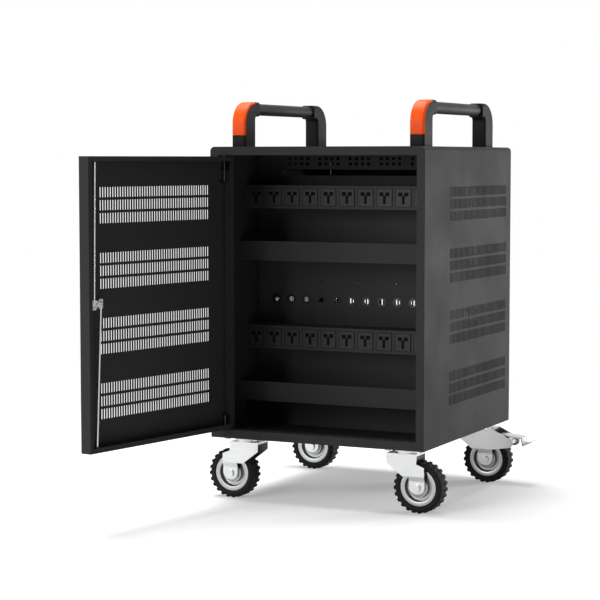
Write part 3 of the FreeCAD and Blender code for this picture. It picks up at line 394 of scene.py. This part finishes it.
def softened(node: str, name: str, width: float, segments: int = 3) -> bpy.types.Object:
    """Copy a node's mesh, merge it and round its sharp edges.

    Args:
        node: Node to copy.
        name: Name of the copy.
        width: Edge rounding in metres.
        segments: Faces across each rounding.

    Returns:
        The rounded copy.
    """
    mesh = NODES[node].data.copy()
    mesh.name = name
    mesh.materials.clear()
    shape = bmesh.new()
    shape.from_mesh(mesh)
    bmesh.ops.remove_doubles(shape, verts=shape.verts, dist=MERGE_WITHIN)
    flat = math.radians(FLAT_WITHIN)
    bmesh.ops.dissolve_limit(shape, angle_limit=flat, verts=shape.verts, edges=shape.edges)
    shape.to_mesh(mesh)
    shape.free()
    if mesh.attributes.get("custom_normal"):
        mesh.attributes.remove(mesh.attributes["custom_normal"])
    piece = link_mesh(name, mesh)
    bevel = piece.modifiers.new("round_edges", "BEVEL")
    bevel.width = width
    bevel.segments = segments
    bevel.limit_method = "ANGLE"
    bevel.angle_limit = math.radians(BEVEL_ABOVE)
    bevel.use_clamp_overlap = True
    plain = baked(piece, name)
    smooth(plain.data, SMOOTH_BELOW)
    return plain


def turned_mesh(name: str, profile: Sequence[tuple[float, float]], place: Matrix) -> bpy.types.Mesh:
    """Turn a closed half profile about an axis.

    Args:
        name: Mesh name.
        profile: Radius and place along the axis of each corner, in metres.
        place: Puts the turned shape, whose axis is Z, where it belongs.

    Returns:
        The mesh, with faces pointing outwards.
    """
    shape = bmesh.new()
    rings = []
    for step in range(TURN_STEPS):
        angle = 2.0 * math.pi * step / TURN_STEPS
        ring = [shape.verts.new((r * math.cos(angle), r * math.sin(angle), z)) for r, z in profile]
        rings.append(ring)
    count = len(profile)
    for step in range(TURN_STEPS):
        here, there = rings[step], rings[(step + 1) % TURN_STEPS]
        for index in range(count):
            after = (index + 1) % count
            shape.faces.new((here[index], there[index], there[after], here[after]))
    bmesh.ops.remove_doubles(shape, verts=shape.verts, dist=WELD_WITHIN)
    bmesh.ops.dissolve_degenerate(shape, edges=shape.edges, dist=NO_LENGTH)
    bmesh.ops.recalc_face_normals(shape, faces=shape.faces)
    bmesh.ops.transform(shape, matrix=place, verts=shape.verts)
    mesh = bpy.data.meshes.new(name)
    shape.to_mesh(mesh)
    shape.free()
    smooth(mesh)
    return mesh


def about_y(centre: Vector) -> Matrix:
    """Matrix that turns a shape's Z axis to Y and moves it.

    Args:
        centre: Where the origin goes.

    Returns:
        The matrix.
    """
    return Matrix.Translation(centre) @ Matrix.Rotation(-math.pi / 2, 4, "X")


# Repeats


@dataclass
class RepeatTree:
    """A geometry node tree that sets copies of a small piece on points."""

    name: str
    tree: bpy.types.NodeTree = field(init=False)

    def __post_init__(self) -> None:
        """Start the tree with its mesh in and out."""
        self.tree = bpy.data.node_groups.new(self.name, "GeometryNodeTree")
        group_socket(self.tree, "Geometry", "INPUT", "NodeSocketGeometry")
        group_socket(self.tree, "Geometry", "OUTPUT", "NodeSocketGeometry")
        self.start = self.tree.nodes.new("NodeGroupInput")
        self.end = self.tree.nodes.new("NodeGroupOutput")

    def size(self, name: str, value: float) -> str:
        """Add a named size input and return its identifier."""
        socket = self.tree.interface.new_socket(name=name, in_out="INPUT", socket_type="NodeSocketFloat")
        socket.default_value = value
        return socket.identifier

    def node(self, kind: str) -> bpy.types.Node:
        """Add one node."""
        return self.tree.nodes.new(kind)

    def join(self, out: bpy.types.NodeSocket, into: bpy.types.NodeSocket) -> None:
        """Link two sockets."""
        self.tree.links.new(out, into)

    def close(self, last: bpy.types.NodeSocket, finish: Finish) -> None:
        """Realize the copies, set their finish and end the tree.

        Args:
            last: Instances so far.
            finish: Finish of the copies.
        """
        real = self.node("GeometryNodeRealizeInstances")
        paint = self.node("GeometryNodeSetMaterial")
        paint.inputs["Material"].default_value = finish.material()
        self.join(last, real.inputs["Geometry"])
        self.join(real.outputs["Geometry"], paint.inputs["Geometry"])
        self.join(paint.outputs["Geometry"], self.end.inputs["Geometry"])

    def run(self, name: str, points: Sequence[Vector], sizes: dict[str, float]) -> bpy.types.Object:
        """Run the tree on loose points and keep the plain result.

        Args:
            name: Name of the result.
            points: Where the copies go.
            sizes: Value of each input by identifier.

        Returns:
            The plain object.
        """
        mesh = bpy.data.meshes.new(name + "_points")
        mesh.from_pydata([tuple(point) for point in points], [], [])
        piece = link_mesh(name + "_points", mesh)
        modifier = piece.modifiers.new("repeat", "NODES")
        modifier.node_group = self.tree
        for identifier, value in sizes.items():
            modifier[identifier] = value
        return baked(piece, name)


def hex_tree(finish: Finish) -> tuple[RepeatTree, str, str]:
    """Tree that sets upright six-sided nuts with a washer on points.

    Args:
        finish: Their finish.

    Returns:
        The tree and the identifiers of its radius and height.
    """
    repeat = RepeatTree("hex_nuts")
    radius = repeat.size("Radius", 6.0 * MM)
    height = repeat.size("Height", 5.0 * MM)
    nut = repeat.node("GeometryNodeMeshCylinder")
    nut.inputs["Vertices"].default_value = 6
    washer = repeat.node("GeometryNodeMeshCylinder")
    washer.inputs["Vertices"].default_value = 24
    wider = repeat.node("ShaderNodeMath")
    wider.operation = "MULTIPLY"
    wider.inputs[1].default_value = WASHER_SHARE
    thin = repeat.node("ShaderNodeMath")
    thin.operation = "MULTIPLY"
    thin.inputs[1].default_value = WASHER_HEIGHT
    repeat.join(repeat.start.outputs["Radius"], nut.inputs["Radius"])
    repeat.join(repeat.start.outputs["Height"], nut.inputs["Depth"])
    repeat.join(repeat.start.outputs["Radius"], wider.inputs[0])
    repeat.join(repeat.start.outputs["Height"], thin.inputs[0])
    repeat.join(wider.outputs["Value"], washer.inputs["Radius"])
    repeat.join(thin.outputs["Value"], washer.inputs["Depth"])
    both = repeat.node("GeometryNodeJoinGeometry")
    repeat.join(nut.outputs["Mesh"], both.inputs["Geometry"])
    repeat.join(washer.outputs["Mesh"], both.inputs["Geometry"])
    copies = repeat.node("GeometryNodeInstanceOnPoints")
    repeat.join(repeat.start.outputs["Geometry"], copies.inputs["Points"])
    repeat.join(both.outputs["Geometry"], copies.inputs["Instance"])
    repeat.close(copies.outputs["Instances"], finish)
    return repeat, radius, height


def tread_tree() -> tuple[RepeatTree, dict[str, str]]:
    """Tree that sets tread lugs round a wheel whose axis is Y, two staggered rows.

    Returns:
        The tree and the identifiers of its inputs by name.
    """
    repeat = RepeatTree("tyre_tread")
    names = {"Count": 30.0, "Radius": 63.0 * MM, "Length": 8.0 * MM, "Width": 16.0 * MM,
             "Height": 5.0 * MM, "Offset": 11.0 * MM}
    ids = {name: repeat.size(name, value) for name, value in names.items()}
    turn = repeat.node("ShaderNodeMath")
    turn.operation = "DIVIDE"
    turn.inputs[0].default_value = 2.0 * math.pi
    repeat.join(repeat.start.outputs["Count"], turn.inputs[1])
    lug_size = repeat.node("ShaderNodeCombineXYZ")
    repeat.join(repeat.start.outputs["Length"], lug_size.inputs["X"])
    repeat.join(repeat.start.outputs["Width"], lug_size.inputs["Y"])
    repeat.join(repeat.start.outputs["Height"], lug_size.inputs["Z"])
    bead = repeat.node("GeometryNodeMeshCylinder")
    bead.inputs["Vertices"].default_value = 16
    bead.inputs["Radius"].default_value = 0.5
    bead.inputs["Depth"].default_value = 1.0
    lie = repeat.node("GeometryNodeTransform")
    lie.inputs["Rotation"].default_value = (math.pi / 2, 0.0, 0.0)
    repeat.join(bead.outputs["Mesh"], lie.inputs["Geometry"])
    lug = repeat.node("GeometryNodeTransform")
    repeat.join(lie.outputs["Geometry"], lug.inputs["Geometry"])
    repeat.join(lug_size.outputs["Vector"], lug.inputs["Scale"])
    rows = repeat.node("GeometryNodeJoinGeometry")
    for side in (-1.0, 1.0):
        line = repeat.node("GeometryNodePoints")
        repeat.join(repeat.start.outputs["Count"], line.inputs["Count"])
        index = repeat.node("GeometryNodeInputIndex")
        shift = repeat.node("ShaderNodeMath")
        shift.inputs[1].default_value = LUG_STAGGER * side
        repeat.join(index.outputs["Index"], shift.inputs[0])
        angle = repeat.node("ShaderNodeMath")
        angle.operation = "MULTIPLY"
        repeat.join(shift.outputs["Value"], angle.inputs[0])
        repeat.join(turn.outputs["Value"], angle.inputs[1])
        spin = repeat.node("ShaderNodeCombineXYZ")
        repeat.join(angle.outputs["Value"], spin.inputs["Y"])
        out = repeat.node("ShaderNodeCombineXYZ")
        move = repeat.node("ShaderNodeMath")
        move.operation = "MULTIPLY"
        move.inputs[1].default_value = side
        repeat.join(repeat.start.outputs["Offset"], move.inputs[0])
        repeat.join(move.outputs["Value"], out.inputs["Y"])
        repeat.join(repeat.start.outputs["Radius"], out.inputs["Z"])
        round_about = repeat.node("ShaderNodeVectorRotate")
        round_about.rotation_type = "Y_AXIS"
        repeat.join(out.outputs["Vector"], round_about.inputs["Vector"])
        repeat.join(angle.outputs["Value"], round_about.inputs["Angle"])
        repeat.join(round_about.outputs["Vector"], line.inputs["Position"])
        copies = repeat.node("GeometryNodeInstanceOnPoints")
        repeat.join(line.outputs["Points"], copies.inputs["Points"])
        repeat.join(lug.outputs["Geometry"], copies.inputs["Instance"])
        stand = repeat.node("FunctionNodeEulerToRotation")
        repeat.join(spin.outputs["Vector"], stand.inputs["Euler"])
        repeat.join(stand.outputs["Rotation"], copies.inputs["Rotation"])
        repeat.join(copies.outputs["Instances"], rows.inputs["Geometry"])
    repeat.close(rows.outputs["Geometry"], TYRE_RUBBER)
    return repeat, ids


# Sub-assemblies


@dataclass
class Case:
    """Folded sheet case: base, sides, cover, divider and shelves."""

    outer: tuple[str, ...] = ("left_side_panel", "right_side_panel", "top_cover", "base_pan")
    inner: tuple[str, ...] = ("divider_panel", "device_shelves", "tray_legs", "lower_adapter_tray",
                              "upper_adapter_tray")

    def dress(self) -> None:
        """Paint the case inside and out; the inner parts get a lighter copy of the case paint, painted light
        for the dim interior.
        """
        for node in self.outer:
            dress(node, CASE_PAINT)
        for node in self.inner:
            dress(node, LIGHTENED_INNER_PAINT)
        dress("device_dividers", BLACK_PLASTIC)


@dataclass
class PowerBay:
    """Socket rails, sockets, lead holes and power inlet."""

    socket_pitch: float = 53.5 * MM
    face_y: float = -120.6 * MM
    # Left, right, foot and head of each mark, as shares of the module; the slot marks are painted shade in
    # the contact holes, the seams are dark joints
    slot_shade_marks: tuple[tuple[float, float, float, float], ...] = (
        (-0.34, -0.06, 0.1, 0.32), (0.06, 0.34, 0.1, 0.32), (-0.09, 0.09, -0.36, 0.12))
    seams: tuple[tuple[float, float, float, float], ...] = (
        (-0.522, -0.498, -0.52, 0.52), (0.498, 0.522, -0.52, 0.52),
        (-0.5, 0.5, -0.52, -0.5), (-0.5, 0.5, 0.5, 0.52))
    module: tuple[float, float] = (42.0 * MM, 45.0 * MM)
    slot_depth: float = 0.0
    seam_depth: float = -1.0 * MM
    mark_thickness: float = 0.3 * MM

    def marks_tree(self) -> tuple[RepeatTree, str, str]:
        """Tree that sets the painted shade of the contact slots and the dark seam of one socket on points.

        Returns:
            The tree and the identifiers of its module width and height.
        """
        repeat = RepeatTree("socket_shutters")
        width = repeat.size("Module Width", self.module[0])
        height = repeat.size("Module Height", self.module[1])
        marks = repeat.node("GeometryNodeJoinGeometry")
        for depth, blocks in ((self.slot_depth, self.slot_shade_marks), (self.seam_depth, self.seams)):
            rise = depth / self.mark_thickness
            scale = repeat.node("ShaderNodeCombineXYZ")
            repeat.join(repeat.start.outputs["Module Width"], scale.inputs["X"])
            scale.inputs["Y"].default_value = self.mark_thickness
            repeat.join(repeat.start.outputs["Module Height"], scale.inputs["Z"])
            for left, right, foot, head in blocks:
                block = repeat.node("GeometryNodeMeshCube")
                block.inputs["Size"].default_value = (right - left, 1.0, head - foot)
                move = repeat.node("GeometryNodeTransform")
                move.inputs["Translation"].default_value = ((left + right) / 2, rise, (foot + head) / 2)
                repeat.join(block.outputs["Mesh"], move.inputs["Geometry"])
                fit = repeat.node("GeometryNodeTransform")
                repeat.join(move.outputs["Geometry"], fit.inputs["Geometry"])
                repeat.join(scale.outputs["Vector"], fit.inputs["Scale"])
                repeat.join(fit.outputs["Geometry"], marks.inputs["Geometry"])
        copies = repeat.node("GeometryNodeInstanceOnPoints")
        repeat.join(repeat.start.outputs["Geometry"], copies.inputs["Points"])
        repeat.join(marks.outputs["Geometry"], copies.inputs["Instance"])
        repeat.close(copies.outputs["Instances"], SOCKET_SHADE_AND_SEAM)
        return repeat, width, height

    def build(self) -> None:
        """Paint shade into the contact slots of every socket as near-black marks and draw the seam round it.
        """
        repeat, width, height = self.marks_tree()
        points = []
        for level in ("lower", "upper"):
            low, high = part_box(f"{level}_sockets")
            count = round((high.x - low.x - self.module[0]) / self.socket_pitch) + 1
            for index in range(count):
                x = (index - (count - 1) / 2) * self.socket_pitch
                points.append(Vector((x, self.face_y, (low.z + high.z) / 2)))
        piece = repeat.run("socket_shutters", points, {width: self.module[0], height: self.module[1]})
        finish_piece(piece, "cabinet", SOCKET_SHADE_AND_SEAM)

    def dress(self) -> None:
        """Finish the pieces that stay as they are."""
        for level in ("lower", "upper"):
            dress(f"{level}_socket_rail", RAIL_PAINT)
            dress(f"{level}_sockets", SOCKET_PLASTIC)
        dress("cable_grommets", GROMMET_PLASTIC)
        dress("power_inlet", BLACK_PLASTIC)
        dress("power_switch", BLACK_PLASTIC)
        dress("divider_screws", DARK_STEEL)


@dataclass
class Door:
    """A slotted pan door with its hinge pins, sprung pin and rod lock."""

    name: str
    spring_radius: float = 4.1 * MM
    spring_wire: float = 0.5 * MM
    spring_turns: int = 6
    spring_steps: int = 16
    spring_low: float = 867.6 * MM
    spring_high: float = 887.4 * MM

    def dress(self) -> None:
        """Finish the nodes of this door."""
        dress(f"{self.name}_panel", CASE_PAINT)
        dress(f"{self.name}_rod_guides", BLACK_PLASTIC)
        dress(f"{self.name}_lock_barrel", LOCK_CHROME)
        for part in ("hinge_brackets", "sprung_pin"):
            dress(f"{self.name}_{part}", DARK_STEEL)
        for part in ("lock_cam", "upper_rod", "lower_rod"):
            dress(f"{self.name}_{part}", BRIGHT_ZINC)

    def make_spring(self) -> None:
        """Wind the spring that pushes the upper pin out, from its bracket to its collar."""
        joint = next(item for item in frame["joints"] if item["name"] == f"{self.name}_pin_slide")
        x, y, _ = joint["pos_m"]
        low, high = self.spring_low, self.spring_high
        steps = self.spring_steps * self.spring_turns
        curve = bpy.data.curves.new(f"{self.name}_spring", "CURVE")
        curve.dimensions = "3D"
        curve.bevel_depth = self.spring_wire
        curve.bevel_resolution = 2
        curve.use_fill_caps = True
        line = curve.splines.new("POLY")
        line.points.add(steps)
        for step in range(steps + 1):
            turn = 2.0 * math.pi * step / self.spring_steps
            z = low + self.spring_wire + (high - low - 2 * self.spring_wire) * step / steps
            side = self.spring_radius * math.cos(turn)
            front = self.spring_radius * math.sin(turn)
            line.points[step].co = (x + side, y + front, z, 1.0)
        coil = bpy.data.objects.new(f"{self.name}_spring", curve)
        bpy.context.scene.collection.objects.link(coil)
        piece = baked(coil, f"{self.name}_pin_spring")
        smooth(piece.data)
        finish_piece(piece, self.name, DARK_STEEL)
        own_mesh(piece)


@dataclass
class Handle:
    """A grab handle: moulded brackets, a coloured corner cover and a coated grip bar."""

    side: str
    edge_round: float = 1.0 * MM
    cover_round: float = 0.8 * MM

    def build(self) -> None:
        """Round the mouldings and coat the bar."""
        brackets = softened(f"{self.side}_handle_brackets", f"{self.side}_handle_moulding", self.edge_round)
        finish_piece(brackets, "cabinet", BLACK_PLASTIC, [f"{self.side}_handle_brackets"])
        cover = softened(f"{self.side}_handle_cover", f"{self.side}_handle_corner", self.cover_round)
        finish_piece(cover, "cabinet", ORANGE_PLASTIC, [f"{self.side}_handle_cover"])
        dress(f"{self.side}_handle_bar", GRIP_COATING)


@dataclass
class CasterPlates:
    """Top plates of the casters with their bolts and nuts."""

    swivel: tuple[float, float] = (229.0 * MM, 252.0 * MM)
    bolt: tuple[float, float] = (40.0 * MM, 33.0 * MM)
    nut_radius: float = 6.6 * MM
    nut_height: float = 4.6 * MM
    plate_under: float = 162.0 * MM

    def build(self) -> None:
        """Finish the plates and set a nut under each bolt."""
        dress("caster_plates", BRIGHT_ZINC)
        dress("caster_bolts", BRIGHT_ZINC)
        repeat, radius, height = hex_tree(BRIGHT_ZINC)
        points = []
        for x_side in (-1, 1):
            for y_side in (-1, 1):
                for x_bolt in (-1, 1):
                    for y_bolt in (-1, 1):
                        x = x_side * self.swivel[0] + x_bolt * self.bolt[0]
                        y = y_side * self.swivel[1] + y_bolt * self.bolt[1]
                        points.append(Vector((x, y, self.plate_under - self.nut_height / 2)))
        nuts = repeat.run("caster_nuts", points, {radius: self.nut_radius, height: self.nut_height})
        finish_piece(nuts, "cabinet", BRIGHT_ZINC)


@dataclass
class Caster:
    """A swivel caster with a lugged tyre on a pressed steel wheel."""

    name: str
    braked: bool
    lugs: int = 24
    tyre_radius: float = 66.0 * MM
    tyre_half: float = 21.0 * MM
    groove: float = 1.4 * MM
    rim_radius: float = 49.0 * MM
    # Each corner of the tyre's section: step in radius, then distance in from its side
    bead: tuple[float, float] = (3.0 * MM, 2.0 * MM)
    sidewall: tuple[float, float] = (7.0 * MM, 0.0)
    shoulder: tuple[float, float] = (2.0 * MM, 3.0 * MM)
    crown_edge: tuple[float, float] = (0.0, 8.0 * MM)
    lug_share: float = 0.56
    lug_rise: float = 2.4
    lug_width: float = 19.0 * MM
    lug_offset: float = 10.6 * MM
    # Radius and distance from the middle of each corner of the disc, in mm
    disc_face: tuple[tuple[float, float], ...] = (
        (6.1, 22.6), (9.5, 22.6), (10.5, 21.8), (13.0, 21.8), (14.0, 20.4), (20.0, 19.6), (21.5, 17.4),
        (25.5, 16.6), (27.5, 5.0), (33.5, 5.0), (35.5, 15.6), (37.0, 17.4), (45.0, 18.4), (47.6, 18.0),
        (48.9, 16.4))

    def centre(self) -> Vector:
        """Return the middle of the wheel."""
        low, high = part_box(f"{self.name}_caster_tyre")
        return (low + high) / 2

    def build(self, tread: RepeatTree, ids: dict[str, str]) -> None:
        """Make the tyre and wheel and finish the fork.

        Args:
            tread: Tree that makes the tread.
            ids: Identifiers of its inputs.
        """
        for part in ("fork", "axle"):
            dress(f"{self.name}_caster_{part}", BRIGHT_ZINC)
        if self.braked:
            dress(f"{self.name}_caster_pedal", BRIGHT_ZINC)
        self.make_tyre(tread, ids)
        self.make_wheel()

    def make_tyre(self, tread: RepeatTree, ids: dict[str, str]) -> None:
        """Make the carcass by turning and set the lugs on it.

        Args:
            tread: Tree that makes the tread.
            ids: Identifiers of its inputs.
        """
        centre = self.centre()
        base = self.tyre_radius - self.groove
        half = self.tyre_half
        outside = [(self.rim_radius, half - self.bead[1]), (self.rim_radius + self.bead[0], half)]
        for drop, inset in (self.sidewall, self.shoulder, self.crown_edge):
            outside.append((base - drop, half - inset))
        profile = [(radius, -z) for radius, z in outside] + outside[::-1]
        mesh = turned_mesh(f"{self.name}_carcass", profile, about_y(centre))
        length = 2.0 * math.pi * self.tyre_radius / self.lugs * self.lug_share
        height = self.lug_rise * self.groove
        reach = self.tyre_radius - height / 2
        sizes = {"Count": float(self.lugs), "Radius": reach, "Length": length, "Width": self.lug_width,
                 "Height": height, "Offset": self.lug_offset}
        values = {ids[key]: value for key, value in sizes.items()}
        lugs = tread.run(f"{self.name}_lugs", [Vector((0.0, 0.0, 0.0))], values)
        shape = bmesh.new()
        shape.from_mesh(mesh)
        extra = bmesh.new()
        extra.from_mesh(lugs.data)
        bmesh.ops.transform(extra, matrix=Matrix.Translation(centre), verts=extra.verts)
        extra.to_mesh(lugs.data)
        extra.free()
        shape.from_mesh(lugs.data)
        shape.to_mesh(mesh)
        shape.free()
        bpy.data.objects.remove(lugs)
        smooth(mesh)
        piece = link_mesh(f"{self.name}_tyre", mesh)
        finish_piece(piece, f"{self.name}_roller", TYRE_RUBBER, [f"{self.name}_caster_tyre"])

    def make_wheel(self) -> None:
        """Turn the pressed wheel disc with its stepped hub."""
        outside = [(radius * MM, z * MM) for radius, z in self.disc_face]
        profile = outside + [(radius, -z) for radius, z in reversed(outside)]
        mesh = turned_mesh(f"{self.name}_disc", profile, about_y(self.centre()))
        piece = link_mesh(f"{self.name}_disc", mesh)
        finish_piece(piece, f"{self.name}_roller", WHEEL_STEEL, [f"{self.name}_caster_wheel"])


@dataclass
class Studio:
    """Floor, backdrop, lamps and the camera that took the picture."""

    eye: Point = (2.00406, -4.59409, 0.89477)
    azimuth: float = 25.43
    pitch: float = 4.3
    lens: float = 111.65
    shift: tuple[float, float] = (-0.0079, -0.0022)
    sensor: float = 36.0
    far: float = 50.0
    floor_lift: float = 0.3
    floor_reach: float = 14.0
    floor_shade: float = 0.86
    floor_rough: float = 0.9
    floor_fade: tuple[float, float] = (0.9, 2.2)
    ambient: float = 0.09
    aim: Point = (0.0, 0.0, 0.5)

    def camera(self) -> None:
        """Set the camera where the photograph was taken from."""
        data = bpy.data.cameras.new("photo_camera")
        data.lens = self.lens
        data.sensor_width = self.sensor
        data.sensor_fit = "HORIZONTAL"
        data.shift_x, data.shift_y = self.shift
        data.clip_end = self.far
        camera = bpy.data.objects.new("photo_camera", data)
        camera.location = self.eye
        camera.rotation_euler = (math.radians(90.0 - self.pitch), 0.0, math.radians(self.azimuth))
        bpy.context.scene.collection.objects.link(camera)
        bpy.context.scene.camera = camera

    def lamp(self, name: str, at: Point, size: float, power: float) -> None:
        """Hang one soft square lamp.

        Args:
            name: Lamp name.
            at: Place of the lamp.
            size: Side of the square in metres.
            power: Watts.
        """
        data = bpy.data.lights.new(name, "AREA")
        data.size = size
        data.energy = power
        lamp = bpy.data.objects.new(name, data)
        lamp.location = at
        lamp.rotation_euler = (Vector(self.aim) - Vector(at)).to_track_quat("-Z", "Y").to_euler()
        bpy.context.scene.collection.objects.link(lamp)

    def backdrop_rays(self, tree: bpy.types.NodeTree) -> bpy.types.NodeSocket:
        """Mask of the rays that see the backdrop: from the camera, in metal and through glass.

        Args:
            tree: Tree of the material or world.

        Returns:
            The mask, 1 for those rays.
        """
        ray = tree.nodes.new("ShaderNodeLightPath")
        seen = ray.outputs["Is Camera Ray"]
        for kind in ("Is Glossy Ray", "Is Transmission Ray"):
            either = tree.nodes.new("ShaderNodeMath")
            either.operation = "MAXIMUM"
            tree.links.new(seen, either.inputs[0])
            tree.links.new(ray.outputs[kind], either.inputs[1])
            seen = either.outputs["Value"]
        return seen

    def floor(self) -> None:
        """Lay the pale floor that keeps the soft shadow."""
        mesh = bpy.data.meshes.new("pale_floor")
        reach = self.floor_reach
        corners = [(-reach, -reach, 0), (reach, -reach, 0), (reach, reach, 0), (-reach, reach, 0)]
        mesh.from_pydata(corners, [], [(0, 1, 2, 3)])
        floor = link_mesh("pale_floor", mesh)
        material = bpy.data.materials.new("pale_floor")
        material.use_nodes = True
        tree = material.node_tree
        make, link = tree.nodes.new, tree.links.new
        shader = tree.nodes["Principled BSDF"]
        shader.inputs["Base Color"].default_value = (self.floor_shade,) * 3 + (1.0,)
        shader.inputs["Roughness"].default_value = self.floor_rough
        shader.inputs["Specular IOR Level"].default_value = 0.0
        shader.inputs["Emission Color"].default_value = (1.0, 1.0, 1.0, 1.0)
        seen = self.backdrop_rays(tree)
        share = make("ShaderNodeMath")
        share.operation = "MULTIPLY"
        share.inputs[1].default_value = self.floor_lift
        link(seen, share.inputs[0])
        link(share.outputs["Value"], shader.inputs["Emission Strength"])
        place = make("ShaderNodeTexCoord")
        reach_out = make("ShaderNodeVectorMath")
        reach_out.operation = "LENGTH"
        link(place.outputs["Object"], reach_out.inputs[0])
        fade = make("ShaderNodeMapRange")
        fade.interpolation_type = "SMOOTHSTEP"
        fade.inputs["From Min"].default_value, fade.inputs["From Max"].default_value = self.floor_fade
        link(reach_out.outputs["Value"], fade.inputs["Value"])
        clear = make("ShaderNodeMath")
        clear.operation = "MULTIPLY"
        link(fade.outputs["Result"], clear.inputs[0])
        link(seen, clear.inputs[1])
        white = make("ShaderNodeEmission")
        mix = make("ShaderNodeMixShader")
        link(clear.outputs["Value"], mix.inputs["Fac"])
        link(shader.outputs["BSDF"], mix.inputs[1])
        link(white.outputs["Emission"], mix.inputs[2])
        link(mix.outputs["Shader"], tree.nodes["Material Output"].inputs["Surface"])
        mesh.materials.append(material)

    def world(self) -> None:
        """Light the scene softly from all round, with a white backdrop."""
        world = bpy.data.worlds.new("studio")
        world.use_nodes = True
        tree = world.node_tree
        back = tree.nodes["Background"]
        back.inputs["Color"].default_value = (1.0, 1.0, 1.0, 1.0)
        level = tree.nodes.new("ShaderNodeMapRange")
        level.inputs["To Min"].default_value = self.ambient
        level.inputs["To Max"].default_value = 1.0
        tree.links.new(self.backdrop_rays(tree), level.inputs["Value"])
        tree.links.new(level.outputs["Result"], back.inputs["Strength"])
        bpy.context.scene.world = world

    def build(self) -> None:
        """Set up the whole studio."""
        bpy.context.scene.view_settings.view_transform = "Standard"
        self.camera()
        self.floor()
        self.world()
        self.lamp("key_lamp", (3.1, 2.9, 0.75), 1.3, 118.0)
        self.lamp("top_lamp", (-0.75, 0.3, 4.2), 2.6, 215.0)
        self.lamp("front_lamp", (-1.9, -4.9, 1.7), 2.8, 150.0)


def main() -> None:
    """Build and dress every sub-assembly in order."""
    logging.basicConfig(level=logging.INFO, format="%(message)s")
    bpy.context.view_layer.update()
    Studio().build()
    Case().dress()
    bay = PowerBay()
    bay.dress()
    bay.build()
    for name in ("front_door", "rear_door"):
        door = Door(name)
        door.dress()
        door.make_spring()
    for side in ("left", "right"):
        Handle(side).build()
    CasterPlates().build()
    tread, ids = tread_tree()
    for name in ("front_right", "front_left", "rear_right", "rear_left"):
        Caster(name, name.startswith("rear")).build(tread, ids)


if __name__ == "__main__":
    main()
